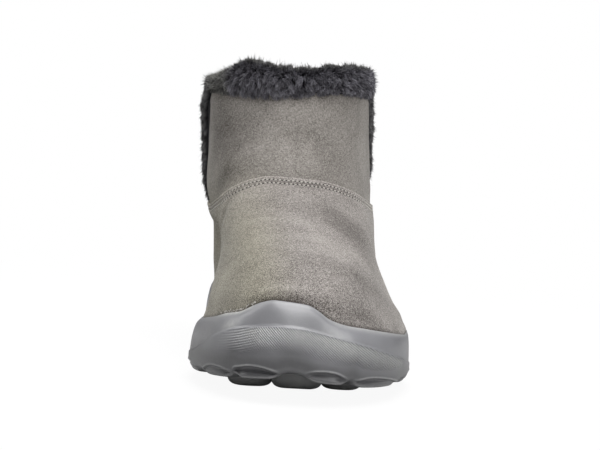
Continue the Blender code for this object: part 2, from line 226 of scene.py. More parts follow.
def onFootbed(clock, out, rise):
    # A ring standing on the midsole's inner floor, offset from the outer face.
    height = 20.0
    for _ in range(6):
        ring = levelOffset(clock, height, out)
        height = footbedHeight(ring[:, 1])
    ring[:, 2] = height + rise
    return ring


def shrunk(ring, share, surface):
    # A ring drawn toward its middle by a share and laid on a surface that is a height by y.
    middle = ring.mean(axis=0)
    smaller = middle + (ring - middle) * share
    smaller[:, 2] = surface(smaller[:, 1])
    return smaller


def throughRings(rings, at):
    # Catmull-Rom curve through control rings, read at fractions of the ring number.
    rings = np.asarray(rings)
    k = np.clip(np.floor(at).astype(int), 0, len(rings) - 2)
    s = (np.asarray(at) - k)[:, None, None]
    p0, p1, p2, p3 = (rings[np.clip(k + d, 0, len(rings) - 1)] for d in (-1, 0, 1, 2))
    return 0.5 * (2 * p1 + (p2 - p0) * s + (2 * p0 - 5 * p1 + 4 * p2 - p3) * s * s
                  + (3 * p1 - p0 - 3 * p2 + p3) * s ** 3)


def gridNormals(points, closedRound):
    # Unit normals of a grid, from central differences along rows and columns.
    if closedRound:
        roundWay = np.roll(points, -1, axis=1) - np.roll(points, 1, axis=1)
    else:
        roundWay = np.gradient(points, axis=1)
    return unit(np.cross(roundWay, np.gradient(points, axis=0)))


def gridFaces(rows, columns, closedRound, closedUp):
    # Quads of a grid of rows and columns numbered row by row, joined at its ends where it is closed.
    number = np.arange(rows * columns).reshape(rows, columns)
    if closedRound:
        number = np.concatenate([number, number[:, :1]], axis=1)
    if closedUp:
        number = np.concatenate([number, number[:1]], axis=0)
    return np.stack([number[:-1, :-1], number[:-1, 1:], number[1:, 1:], number[1:, :-1]], axis=-1).reshape(-1, 4)


def poleFans(rows, columns):
    # Triangles from a closed grid's first and last rows to two more points, numbered after the grid's own.
    here = np.arange(columns)
    there, last, pole = np.roll(here, -1), (rows - 1) * columns, np.full(columns, rows * columns)
    return np.vstack([np.stack([there, here, pole], axis=1), np.stack([last + here, last + there, pole + 1], axis=1)])


def makeMesh(name, points, quads, triangles, material, marks=None):
    # One piece from arrays of points in millimetres, quads and triangles, with named marks on its points.
    points = np.asarray(points, float).reshape(-1, 3) * millimetre
    corners = np.concatenate([np.asarray(quads, int).ravel(), np.asarray(triangles, int).ravel()])
    sizes = np.concatenate([np.full(len(quads), 4), np.full(len(triangles), 3)])
    mesh = bpy.data.meshes.new(name)
    mesh.vertices.add(len(points))
    mesh.vertices.foreach_set("co", points.ravel())
    mesh.loops.add(len(corners))
    mesh.loops.foreach_set("vertex_index", corners)
    mesh.polygons.add(len(sizes))
    mesh.polygons.foreach_set("loop_start", np.cumsum(sizes) - sizes)
    mesh.polygons.foreach_set("use_smooth", np.ones(len(sizes), bool))
    mesh.update(calc_edges=True)
    for mark, values in (marks or {}).items():
        mesh.attributes.new(mark, "FLOAT", "POINT").data.foreach_set("value", np.asarray(values, float).ravel())
    mesh.materials.append(material)
    piece = bpy.data.objects.new(name, mesh)
    bpy.context.scene.collection.objects.link(piece)
    return piece


def makeGrid(name, points, material, closedRound=False, closedUp=False, poles=False, inward=False, marks=None):
    # A piece from a grid of points. Poles close its first and last rings with a fan round their middles.
    rows, columns = points.shape[:2]
    flat = points.reshape(-1, 3)
    quads = gridFaces(rows, columns, closedRound, closedUp)
    triangles = np.zeros((0, 3), int)
    marks = {key: np.broadcast_to(value, (rows, columns)).ravel() for key, value in (marks or {}).items()}
    if poles:
        flat = np.vstack([flat, points[0].mean(axis=0), points[-1].mean(axis=0)])
        marks = {key: np.concatenate([v, [v[0], v[-1]]]) for key, v in marks.items()}
        triangles = poleFans(rows, columns)
    if inward:
        quads, triangles = quads[:, ::-1], triangles[:, ::-1]
    return makeMesh(name, flat, quads, triangles, material, marks)


def makeSlab(name, outer, inner, material, marks=None):
    # A closed sheet with thickness: an outer grid, an inner grid and the strips between their four sides.
    rows, columns = outer.shape[:2]
    count = rows * columns
    number = np.arange(count).reshape(rows, columns)
    front = gridFaces(rows, columns, False, False)
    back = front[:, ::-1] + count
    rim = np.concatenate([number[0, :], number[1:, -1], number[-1, -2::-1], number[-2:0:-1, 0]])
    after = np.roll(rim, -1)
    sides = np.stack([after, rim, rim + count, after + count], axis=1)
    marks = {key: np.concatenate([np.ravel(v), np.ravel(v)]) for key, v in (marks or {}).items()}
    points = np.concatenate([outer.reshape(-1, 3), inner.reshape(-1, 3)])
    return makeMesh(name, points, np.vstack([front, back, sides]), np.zeros((0, 3), int), material, marks)


def placed(piece, node=()):
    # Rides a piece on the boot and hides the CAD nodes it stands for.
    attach(piece, "root")
    if node:
        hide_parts(*node)
    return piece


def toWorld(azimuth, elevation):
    # Unit vector toward a viewer at an azimuth, 0 being in front of the toe, and an elevation, in degrees.
    a, e = math.radians(azimuth), math.radians(elevation)
    return np.array([math.sin(a) * math.cos(e), -math.cos(a) * math.cos(e), math.sin(e)])


def addCamera(settings):
    # A camera looking back along its direction, with its sides turned by the roll.
    turn, roll = math.radians(settings["azimuth"]), math.radians(settings["roll"])
    back = toWorld(settings["azimuth"], settings["elevation"])
    right = np.array([math.cos(turn), math.sin(turn), 0.0])
    up = np.cross(back, right)
    sides = (right * math.cos(roll) + up * math.sin(roll), up * math.cos(roll) - right * math.sin(roll), back)
    made = bpy.data.objects.new("camera", bpy.data.cameras.new("camera"))
    made.data.lens = settings["lens"]
    made.data.clip_start, made.data.clip_end = settings["clip"]
    made.rotation_mode = "QUATERNION"
    made.location = np.array(settings["target"]) + back * settings["distance"]
    made.rotation_quaternion = Matrix(np.stack(sides, axis=1).tolist()).to_quaternion()
    bpy.context.scene.collection.objects.link(made)
    bpy.context.scene.camera = made


def addNode(tree, kind, inputs=None, **settings):
    # A shader node with its settings, each input given as a value or as the socket that feeds it.
    made = tree.nodes.new(kind if kind.startswith("NodeGroup") else "ShaderNode" + kind)
    for key, value in settings.items():
        setattr(made, key, value)
    for key, value in (inputs or {}).items():
        if isinstance(value, bpy.types.NodeSocket):
            tree.links.new(value, made.inputs[key])
        else:
            made.inputs[key].default_value = value
    return made


def emptyTree(owner):
    # The cleared node tree of a world or material.
    owner.use_nodes = True
    owner.node_tree.nodes.clear()
    return owner.node_tree


def byRay(tree, unseen, seen, end):
    # One shader for what the camera sees and another for every other ray, joined to the tree's end node.
    share = addNode(tree, "LightPath").outputs["Is Camera Ray"]
    mixed = addNode(tree, "MixShader", {0: share, 1: unseen.outputs[0], 2: seen.outputs[0]})
    addNode(tree, end, {"Surface": mixed.outputs[0]})


studio = {
    "camera": {"azimuth": -4.774, "elevation": 4.694, "roll": 3.5, "distance": 1.3, "lens": 159.57,
               "target": (0.00035, 0.0, 0.07), "clip": (0.05, 50.0)},
    "backdrop": 1.0, "surround": 0.05,    # the world's strength, as seen and as light
    "floorColour": 0.45, "floorRadius": 30.0, "floorDrop": 0.05,    # metres across, millimetres under the boot
    "aim": (0.0, 0.0, 0.06),
    # the floor as seen: its plain shade and its own glow near the boot, and where they give way to white
    "floorSeen": 0.07, "floorGlow": 0.93, "floorFade": (0.16, 0.45),
    # name, azimuth, elevation, distance, size, watts
    "lights": (("overhead softbox", 0.0, 78.0, 1.5, 1.2, 20.0),
               ("front softbox", 0.0, 50.0, 1.5, 0.7, 5.5),
               ("right softbox", 60.0, 22.0, 1.7, 0.8, 5.6),
               ("high right softbox", 55.0, 50.0, 1.6, 0.8, 3.0),
               ("low front fill", -6.0, 3.0, 1.8, 0.8, 2.8),
               ("rear left softbox", -115.0, 35.0, 1.7, 0.8, 5.0),
               ("rear softbox", 170.0, 35.0, 1.8, 1.0, 9.0)),
}


def addStudio(settings):
    # A plain pale floor that runs out of sight, a pale surround, and soft area lights aimed at the boot.
    white = (1.0, 1.0, 1.0, 1.0)
    world = bpy.data.worlds.new("studio")
    bpy.context.scene.world = world
    tree = emptyTree(world)
    byRay(tree, *(addNode(tree, "Background", {"Color": white, "Strength": settings[key]})
                  for key in ("surround", "backdrop")), "OutputWorld")

    pale = bpy.data.materials.new("paleFloor")
    tree = emptyTree(pale)
    place = addNode(tree, "TexCoord").outputs["Object"]
    away = addNode(tree, "VectorMath", {0: place}, operation="LENGTH").outputs["Value"]
    near, far = settings["floorFade"]
    shade, strength = (
        addNode(tree, "MapRange", {"Value": away, "From Min": near, "From Max": far, "To Min": first, "To Max": last},
                interpolation_type="SMOOTHSTEP").outputs[0]
        for first, last in ((settings["floorSeen"], 0.0), (settings["floorGlow"], 1.0)))
    plain = addNode(tree, "BsdfDiffuse", {"Color": shade})
    glow = addNode(tree, "Emission", {"Color": white, "Strength": strength})
    seen = addNode(tree, "AddShader", {0: plain.outputs[0], 1: glow.outputs[0]})
    byRay(tree, addNode(tree, "BsdfDiffuse", {"Color": (*(settings["floorColour"],) * 3, 1.0)}), seen, "OutputMaterial")
    turn = np.radians(np.arange(0, 360, 6))
    rings = [np.stack([np.cos(turn) * r, np.sin(turn) * r, 0 * turn - settings["floorDrop"]], axis=-1)
             for r in (settings["floorRadius"] * 1000, 1.0)]
    makeGrid("floor", np.array(rings), pale, closedRound=True)

    for name, azimuth, elevation, distance, size, watts in settings["lights"]:
        lamp = bpy.data.lights.new(name, "AREA")
        lamp.size, lamp.energy = size, watts
        made = bpy.data.objects.new(name, lamp)
        direction = toWorld(azimuth, elevation)
        made.location = direction * distance + settings["aim"]
        made.rotation_euler = Vector(direction.tolist()).to_track_quat("Z", "Y").to_euler()
        bpy.context.scene.collection.objects.link(made)
    bpy.context.scene.view_settings.view_transform = "Standard"


addCamera(studio["camera"])
addStudio(studio)
print("camera, floor and lights ready")


def newGroup(name, colours, values, outputs):
    # An empty shader node group fed by a place, colours and values: its tree, its given sockets and its end node.
    group = bpy.data.node_groups.new(name, "ShaderNodeTree")
    sockets = [("Place", "INPUT", "Vector"), *((key, "INPUT", "Color") for key in colours),
               *((key, "INPUT", "Float") for key in values),
               *((key, "OUTPUT", "Color" if key == "Colour" else "Float") for key in outputs)]
    for socket, way, kind in sockets:
        group.interface.new_socket(socket, in_out=way, socket_type="NodeSocket" + kind)
    return group, addNode(group, "NodeGroupInput").outputs, addNode(group, "NodeGroupOutput")


def linked(tree, source, target, socket):
    tree.links.new(source, target.inputs[socket])


def mathNode(tree, operation, *values):
    # One arithmetic step between sockets or values.
    return addNode(tree, "Math", dict(enumerate(values)), operation=operation).outputs[0]


def scaled(tree, value, by, plus):
    # value * by + plus
    return mathNode(tree, "MULTIPLY_ADD", value, by, plus)


def limited(tree, value, low=0.0, high=1.0):
    return addNode(tree, "Clamp", {"Value": value, "Min": low, "Max": high}).outputs[0]


def mixColours(tree, share, first, second, **settings):
    return addNode(tree, "Mix", {0: share, 6: first, 7: second}, data_type="RGBA", **settings).outputs[2]


def noise(tree, place, scale, detail, roughness=0.55, distortion=0.0):
    return addNode(tree, "TexNoise", {"Vector": place, "Scale": scale, "Detail": detail, "Roughness": roughness,
                                      "Distortion": distortion}).outputs["Fac"]


def buildNapGrain():
    # Napped leather: fine fibre grain, flecks and broad soft patches, shifted by a tone from -1 to 1 that carries
    # painted highlight and painted shade as well as the nap's own tone.
    group, given, made = newGroup("napGrain", ("Pale", "Deep"), ("Tone", "Moss", "Grain Depth"), ("Colour", "Height"))
    grain = noise(group, given["Place"], 2100.0, 2.0, 0.6)
    fleck = noise(group, given["Place"], 882.0, 2.0, 0.6)
    patch = noise(group, given["Place"], 45.0, 2.0, 0.5, 0.3)
    total = 0.5
    for pattern, weight in ((grain, given["Grain Depth"]), (fleck, 1.3), (patch, 1.0)):
        total = scaled(group, mathNode(group, "SUBTRACT", pattern, 0.5), weight, total)
    share = limited(group, scaled(group, given["Tone"], 0.5, total), -0.4, 1.7)
    colour = mixColours(group, share, given["Deep"], given["Pale"], clamp_factor=False)
    mossy = mixColours(group, given["Moss"], colour, (0.985, 0.995, 0.86, 1.0), blend_type="MULTIPLY")
    linked(group, mossy, made, "Colour")
    linked(group, scaled(group, fleck, 0.6, grain), made, "Height")
    return group


def buildPileShade():
    # Pile fibre: dark at the root, paler at the tip, each fibre a little different, with broad soft patches, and tips
    # turned paler and olive where marked, which on the collar is painted rim light.
    group, given, made = newGroup("pileShade", ("Root", "Tip", "OliveAndRimLitTip"), ("Along", "Tint", "OliveAndRimLight"), ("Colour",))
    patch = noise(group, given["Place"], 90.0, 2.0)
    strength = scaled(group, patch, 0.7, mathNode(group, "MULTIPLY", given["Tint"], 0.9))
    share = limited(group, mathNode(group, "MULTIPLY", mathNode(group, "POWER", given["Along"], 1.5), strength))
    tip = mixColours(group, given["OliveAndRimLight"], given["Tip"], given["OliveAndRimLitTip"])
    linked(group, mixColours(group, share, given["Root"], tip), made, "Colour")
    return group


def buildMouldedSkin():
    # Moulded foam or rubber: pored skin, faint flow clouds, dust with painted highlight, and painted shade, where the
    # piece's marks lay them.
    group, given, made = newGroup("mouldedSkin", ("Colour", "Dust"), ("DustingAndSheen", "PaintedShade", "Pore Scale"),
                                  ("Colour", "Height", "Roughness"))
    pore = noise(group, given["Place"], given["Pore Scale"], 2.0, 0.6)
    cloud = noise(group, given["Place"], 38.0, 3.0, 0.55, 0.4)
    speck = noise(group, given["Place"], 480.0, 2.0, 0.7)
    shade = scaled(group, cloud, 0.24, scaled(group, pore, 0.10, 0.83))
    # painted shade: the colour darkened where the piece's shade mark lies
    shade = mathNode(group, "MULTIPLY", shade, scaled(group, given["PaintedShade"], -0.66, 1.0))
    tinted = addNode(group, "VectorMath", {0: given["Colour"], "Scale": shade}, operation="SCALE").outputs[0]
    # dust, and painted highlight, mixed in where the piece's dust and sheen mark lies
    dustAndSheen = mathNode(group, "MULTIPLY", given["DustingAndSheen"], scaled(group, speck, 1.4, 0.2))
    linked(group, mixColours(group, limited(group, dustAndSheen), tinted, given["Dust"]), made, "Colour")
    linked(group, scaled(group, speck, 0.5, pore), made, "Height")
    linked(group, scaled(group, cloud, 0.14, 0.27), made, "Roughness")
    return group


def newMaterial(name, constants):
    # A material with its tree, its shader set to its constants, and its object coordinates.
    made = bpy.data.materials.new(name)
    made.use_nodes = True
    tree = made.node_tree
    shader = tree.nodes["Principled BSDF"]
    for key, value in constants.items():
        shader.inputs[key].default_value = value
    return made, tree, shader, addNode(tree, "TexCoord").outputs["Object"]


def bumped(tree, shader, height, strength, distance):
    bump = addNode(tree, "Bump", {"Height": height, "Strength": strength, "Distance": distance})
    linked(tree, bump.outputs[0], shader, "Normal")


def groupMaterial(name, finish, specular, inputs):
    # A material coloured by its finish's node group, from colours, values and the piece's own marks.
    made, tree, shader, place = newMaterial(name, {**finish["constants"], "Specular IOR Level": specular})
    inputs = {key: (*value, 1.0) if isinstance(value, tuple) else value for key, value in inputs.items()}
    for socket, mark in finish["marks"].items():
        inputs[socket] = addNode(tree, "Attribute", attribute_name=mark).outputs["Fac"]
    given = addNode(tree, "Group", {"Place": place, **inputs}, node_tree=finish["group"]).outputs
    linked(tree, given["Colour"], shader, "Base Color")
    if "Roughness" in given:
        linked(tree, given["Roughness"], shader, "Roughness")
    if "bump" in finish:
        bumped(tree, shader, given["Height"], *finish["bump"])
    return made


def clothMaterial(name, deep, pale, scale):
    # Backing cloth under pile: dark tufts from noise, with a matching bump.
    made, tree, shader, place = newMaterial(name, finishes["cloth"])
    tuft = noise(tree, place, scale, 4.0, 0.65)
    share = scaled(tree, noise(tree, place, scale * 0.12, 2.0), 0.6, mathNode(tree, "SUBTRACT", tuft, 0.35))
    linked(tree, mixColours(tree, limited(tree, share), (*deep, 1.0), (*pale, 1.0)), shader, "Base Color")
    bumped(tree, shader, tuft, 0.9, 0.0012)
    return made


def threadMaterial(name, colour):
    # Spun thread: fine twisted bands of light and dark along object space.
    made, tree, shader, place = newMaterial(name, {"Roughness": 0.7})
    twist = noise(tree, place, 3800.0, 2.0)
    deep = tuple(c * 0.55 for c in colour)
    share = scaled(tree, twist, 0.7, 0.2)
    linked(tree, mixColours(tree, share, (*deep, 1.0), (*colour, 1.0)), shader, "Base Color")
    bumped(tree, shader, twist, 0.4, 0.0001)
    return made


# the node group, the marks that feed it, the bump's strength and distance, and the shader's constants
finishes = {
    "suede": {"group": buildNapGrain(), "marks": {"Tone": "napToneAndShade", "Moss": "napMoss"}, "bump": (0.35, 0.0002),
              "constants": {"Roughness": 0.95, "Sheen Weight": 0.25, "Sheen Roughness": 0.45,
                            "Sheen Tint": (0.86, 0.84, 0.80, 1.0)}},
    "pile": {"group": buildPileShade(), "constants": {"Roughness": 0.62},
             "marks": {"Along": "alongFibre", "Tint": "fibreTint", "OliveAndRimLight": "fibreOliveAndRimLight"}},
    "moulded": {"group": buildMouldedSkin(), "marks": {"DustingAndSheen": "dustingAndSheen", "PaintedShade": "paintedShade"},
                "bump": (0.25, 0.00012), "constants": {}},
    "cloth": {"Roughness": 0.95, "Specular IOR Level": 0.1, "Sheen Weight": 0.08},
}
vampSuede = groupMaterial("vampSuede", finishes["suede"], 0.15, {
    "Pale": (0.395, 0.366, 0.344), "Deep": (0.165, 0.150, 0.140), "Grain Depth": 5.0})
shaftSuede = groupMaterial("shaftSuede", finishes["suede"], 0.15, {
    "Pale": (0.318, 0.296, 0.273), "Deep": (0.134, 0.122, 0.110), "Grain Depth": 3.8})
# the olive tip colour, paler than the tip, is the colour painted rim light turns the collar's tips to; the gusset takes
# it as a tint
collarPile = groupMaterial("collarPile", finishes["pile"], 0.3, {
    "Root": (0.010, 0.009, 0.012), "Tip": (0.285, 0.277, 0.315), "OliveAndRimLitTip": (0.330, 0.330, 0.295)})
soleFoam = groupMaterial("soleFoam", finishes["moulded"], 0.8, {
    "Colour": (0.280, 0.280, 0.298), "Dust": (0.62, 0.62, 0.60), "Pore Scale": 2200.0})
podRubber = groupMaterial("podRubber", finishes["moulded"], 0.4, {
    "Colour": (0.450, 0.450, 0.452), "Dust": (0.20, 0.20, 0.20), "Pore Scale": 1500.0})
liningPlush = clothMaterial("liningPlush", (0.010, 0.009, 0.012), (0.050, 0.047, 0.054), 900.0)
# painted shade in the pinholes: an even dark cloth colour
pinholeShade = clothMaterial("pinholeShade", (0.012, 0.010, 0.009), (0.012, 0.010, 0.009), 2000.0)
stitchThread = threadMaterial("stitchThread", (0.62, 0.59, 0.54))
print("materials ready")


sole = {
    # y, lower edge on the inner side, on the outer side, middle of the recessed underside
    "underside": (
        (-134, 11.6, 10.4, 15.4), (-128, 10.9, 9.7, 14.6), (-118, 9.6, 7.9, 13), (-100, 7.8, 6.4, 11),
        (-80, 6.2, 5.4, 9.8), (-60, 4.8, 4.2, 8.8), (-40, 3.6, 3.2, 7.6), (-10, 3.6, 3.2, 8), (18, 7.5, 5, 11),
        (42, 4.6, 3.4, 8.6), (64, 1.6, 1.4, 6.2), (100, 1, 1, 5.4), (120, 2.6, 2.6, 7), (134, 7.5, 7.5, 11)),
    # share of the way down, and share of the way out on the side wall, on the toe, which tucks in, and on the hump
    "wallProfile": (
        (0, 0.10, 0.10, 0.09), (0.035, 0.34, 0.34, 0.24), (0.08, 0.52, 0.52, 0.355), (0.15, 0.66, 0.66, 0.475),
        (0.24, 0.78, 0.79, 0.595), (0.36, 0.885, 0.90, 0.735), (0.48, 0.95, 0.97, 0.855),
        (0.58, 0.985, 0.995, 0.935), (0.68, 1, 0.99, 0.98), (0.78, 0.995, 0.95, 0.965), (0.88, 0.975, 0.88, 0.90)),
    # clock angle where the toe's wall starts to give way and over how far, and share of the hump's wall by clock angle
    "toeFade": (24.0, 30.0),
    "hump": ((-180, 0), (-38, 0), (-31, 0.25), (-22, 0.85), (-14, 1), (2, 1), (8, 0.8), (15, 0.2), (21, 0), (180, 0)),
    # inset from the wall's end and height above the lower edge, round the bottom's corner
    "bottomCurve": ((1.3, 1.6), (2.4, 0.65), (4, 0.12), (7.5, 0), (11.5, 1.1)),
    "bottomEnd": 14.5,
    "footShares": (0.24, 0.52, 0.78),
    "underShares": (0.9, 0.8, 0.68, 0.56, 0.44, 0.32, 0.2, 0.08),
    # clock angle, half width and rise of the notches between the moulded lobes along the lower edge
    "notches": (
        (-193, 4.5, 2.2), (-167, 4.5, 2.2), (-146, 4, 2), (-126, 4, 2), (-106, 4, 2), (-84, 3.6, 1.8),
        (-56, 3.6, 1.2), (-29.6, 3.2, 1.7), (-1.7, 5.2, 3.2), (21.2, 2.8, 1.9), (57.5, 3.6, 1.8), (84, 4, 1.8),
        (103, 4, 2), (122, 4, 2), (142, 4, 2), (167, 4.5, 2.2), (193, 4.5, 2.2)),
    # clock angles where each lobe's scoop starts and ends, height of its upper lip, how far its top leans, share of
    # the full depth
    "scoops": (
        (-189, -171, 5, 0, 1), (-164, -149, 5, 0, 1), (-143, -129, 5, 0, 1), (-123, -109, 5, 0, 1),
        (-103, -87, 5, 0, 0.9), (-81, -59, 4.6, 0, 0.45), (-53.5, -29.5, 5, -0.15, 0.5),
        (-31.5, -4.6, 5.9, -0.1, 0.8), (0.8, 20.3, 5.6, -0.1, 0.75), (21.6, 56, 4.6, -0.35, 0.6),
        (59.5, 81.5, 4.6, 0, 0.45), (87, 100, 4.8, 0, 0.9), (106, 119, 5, 0, 1), (125, 139, 5, 0, 1),
        (145, 163, 5, 0, 1), (171, 189, 5, 0, 1)),
    "scoopDepth": 2.2, "scoopLip": 0.4, "scoopEnds": 4.5, "scoopShape": (2.4, 0.8), "leastTall": 0.9,
    # share of a scoop's height where its hollow starts to run out, and over what share
    "runOut": (0.2, 0.7),
    # how far over a scoop its raised lip stands, and height of the raised line over the lower edge
    "lipOver": 0.45, "edgeLine": 0.75,
    # the step under the band line: its own height, clock angle where it ends and over how far, and likewise below
    "stepSpan": 0.7, "stepSides": (72.0, 18.0), "stepFoot": (3.0, 14.0),
    # clock angle, height above the lower edge under which painted shade darkens the wall toward the ground, and over
    # how far
    "paintedShadeTop": ((-180, 9), (-90, 10), (-60, 19), (-30, 19.5), (4, 16.5), (24, 15), (60, 15), (90, 9), (180, 9)),
    "paintedShadeSpan": 13.0, "paintedShadeMost": 1.05,
    # clock angle, how much painted shade darkens the wall above the band line
    "wallShade": (
        (-180, 0), (-38, 0), (-31, 0.08), (-22, 0.26), (-14, 0.30), (2, 0.30), (8, 0.22), (20, 0), (36, 0.02),
        (52, 0.16), (78, 0.18), (110, 0), (180, 0)),
    # painted highlights by the band line: clock angle, width, height above the line, spread, amount
    "sheens": ((-52, 13, 5, 12, 0.20), (-34, 5, 2.6, 2.2, 0.50), (13, 6, 1, 3, 0.24)),
    # clock angle and height of the line above which the wall is smooth, and the step under it
    "bandLine": (
        (-90, 9), (-66, 14.5), (-52, 21.8), (-44, 26.6), (-31.5, 31.7), (-19, 34.2), (-8, 35.3), (-1, 35.1),
        (5.5, 33.6), (13.5, 31.4), (22, 29.1), (42, 22.7), (54.5, 18.3), (70, 12.5), (95, 8)),
    "bandStep": 0.5,
    # dust on the lip: all round; more about a clock angle on the inner side, with its reach and fade; and more on the
    # outer side, with the clock angles and fades where it starts and ends
    "lipDust": 0.12, "innerDust": (0.7, -35.0, 9.0, 6.0), "outerDust": (0.22, 9.0, 8.0, 88.0, 20.0),
    # share of a control ring between the shell's rows: floor, lip, under the lip, wall, its lower edge, corner, its
    # end, underside
    "rowSteps": (1.0, 0.2, 0.25, 0.2, 0.09, 0.16, 0.25, 0.5),
    # millimetres between columns within a clock angle of the toe, and behind it
    "columnFront": 0.8, "columnBack": 1.7, "frontWithin": 84.0,
}


def undersideHeight(y):
    return readTable(y, sole["underside"])[..., 2]


def notchRise(clock):
    # How far the lower edge rises between lobes: the highest of the notches' bells.
    middles, widths, rises = np.array(sole["notches"]).T
    return (rises * bell(np.asarray(clock)[..., None] - middles, widths)).max(axis=-1)


def evenColumns(section, front, back, turn):
    # Clock angles at even steps round an outline, at one step within a clock angle of the toe and another behind.
    clock = np.linspace(-180, 180, 7201)
    x, y = outline(section, clock)
    run = runningTotal(np.hypot(np.diff(x), np.diff(y)) / np.where(np.abs(clock[1:]) < turn, front, back))
    count = int(run[-1])
    return np.interp(np.arange(count) * run[-1] / count, run, clock)


def soleControlRings(clock):
    # Rings of the whole sole in order: inner floor, inner wall, lip, side wall, bottom corner, underside.
    rim, gap = aroundClock(clock, form["rim"]), form["gap"]
    insoleEdge = onFootbed(clock, -form["wall"] - gap, 0.0)
    rings = [shrunk(insoleEdge, share, footbedHeight) for share in (0.02, *sole["footShares"])]
    rings += [insoleEdge, onFootbed(clock, -form["wall"], 0.0), onFootbed(clock, gap, 0.0)]
    low = rings[-1][:, 2]
    rings += [levelOffset(clock, low + (rim - low) * share, gap) for share in (0.4, 0.75)]
    rings += [levelOffset(clock, rim - 0.9, gap), levelOffset(clock, rim - 0.15, 0.42)]
    lipStart = len(rings) - 1
    x, y = outline(form["soleOutline"], clock)
    edgeIn, edgeOut, _ = np.moveaxis(readTable(y, sole["underside"]), -1, 0)
    edge = edgeIn + (edgeOut - edgeIn) * ease((x + 20.0) / 40.0) + notchRise(clock)
    widest = np.stack([x - middleX, y, edge], axis=-1)
    top = levelOffset(clock, rim, gap)
    hump = aroundClock(clock, sole["hump"])[:, None]
    toe = fading(np.abs(clock), *sole["toeFade"])[:, None]
    for down, side, toeOut, humpOut in sole["wallProfile"]:
        out = side + (toeOut - side) * toe
        wall = top + (widest - top) * (out + (humpOut - out) * hump)
        wall[:, 2] = rim + (edge - rim) * down
        rings.append(wall)
    rings[lipStart + 1][:, 2] += 0.25
    around = np.roll(widest, -1, axis=0) - np.roll(widest, 1, axis=0)
    inward = unit(np.stack([-around[:, 1], around[:, 0], 0 * around[:, 0]], axis=-1))
    for inset, rise in sole["bottomCurve"]:
        rings.append(widest + inward * inset)
        rings[-1][:, 2] = edge + rise
    under = widest + inward * sole["bottomEnd"]
    rings += [shrunk(under, share, undersideHeight) for share in (1, *sole["underShares"])]
    return np.array(rings), lipStart, edge


def lowPaintedShade(clock, above):
    # Painted shade: how dark the wall grows toward its lower edge, from the height above that edge.
    return sole["paintedShadeMost"] * ease((aroundClock(clock, sole["paintedShadeTop"]) - above) / sole["paintedShadeSpan"])


def bandLineHeight(clock):
    return readTable(clock, sole["bandLine"])[..., 0]


def scoopPlace(clock, height, edge):
    # Where a point lies in the scoops: millimetres under the upper lip, share of the way to the lower edge, and a
    # weight that fades to nothing at a scoop's two ends.
    clock, height, edge = np.broadcast_arrays(clock, height, edge)
    down, share, ends = (np.full(height.shape, k) for k in (-9.0, -9.0, 0.0))
    power, root = sole["scoopShape"]
    for start, end, tall, lean, deep in sole["scoops"]:
        u = (clock - (start + end) / 2) / (end - start) * 2
        arch = np.clip(1 - np.abs(np.clip(u, -1, 1)) ** power, 0, 1) ** root * (1 + lean * u)
        tallHere = np.maximum(tall * arch, sole["leastTall"])
        within = np.abs(u) < 1
        down = np.where(within, edge + tallHere - height, down)
        share = np.where(within, down / tallHere, share)
        ends = np.where(within, deep * ease((1 - np.abs(u)) * (end - start) / 2 / sole["scoopEnds"]), ends)
    return down, share, ends


def scoopHollow(down, share, ends, start):
    # 1 deep inside a scoop, from a start under its lip to where it runs out toward the lower edge.
    return ease(down / start) * fading(share, *sole["runOut"]) * ends


def soleRelief(points, clock, edge):
    # Outward displacement: a step below the band line, and scoops deepest under their upper lips.
    height = points[..., 2]
    below = bandLineHeight(clock) - height
    step = ease(below / sole["stepSpan"] + 0.5) * fading(below, *sole["stepFoot"])
    step = sole["bandStep"] * step * fading(np.abs(clock - 2.0), *sole["stepSides"])
    down, share, ends = scoopPlace(clock, height, edge)
    hollow = scoopHollow(down, share, ends, 0.8)
    lips = (bell(down + sole["lipOver"], 0.45) + 0.6 * bell(height - edge - sole["edgeLine"], 0.5)) * ends
    return step - sole["scoopDepth"] * hollow + sole["scoopLip"] * lips, hollow


ribs = {
    "from": -56.0, "to": 66.0, "step": 0.24, "rows": 80,    # clock angles of the ribbed band, and its grid
    "pitch": 1.14, "height": 0.5, "reach": 16.5,           # between ribs straight up, ridge height, band height
    "fadeIn": 26.0, "fadeOut": 12.0,                       # clock angles over which the ribs come and go
    "clear": 6.8,                                          # how far above the lower edge the band stays
    "fadeDown": (7.5, 7.5), "fadeUp": 3.0,                 # below the band line, and above the lower edge
    # lit: amount, clock angle and width where the ridges' painted highlight is stronger
    "sharpness": 1.2, "most": 1.15, "sunk": 0.16, "thick": 0.7, "lit": ((0.5, 15.0, 12.0),),
    # distance along the wall from the middle of the toe, and the ribs' fall for each unit along
    "fall": ((-90, 0.85), (-22, 0.85), (-10, 0.9), (4, 0.95), (20, 0.80), (34, 0.55), (60, 0.38), (90, 0.3)),
    "levelFall": ((-90, -0.05), (-50, -0.10), (-36, -0.18), (-20, -0.30), (90, -0.3)),
    # along the wall, where the level ribs give way to the slanting ones, and where faint ribs gain their full height
    "crossing": (-29.0, -17.0), "faint": (-40.0, -16.0, 0.4),
}


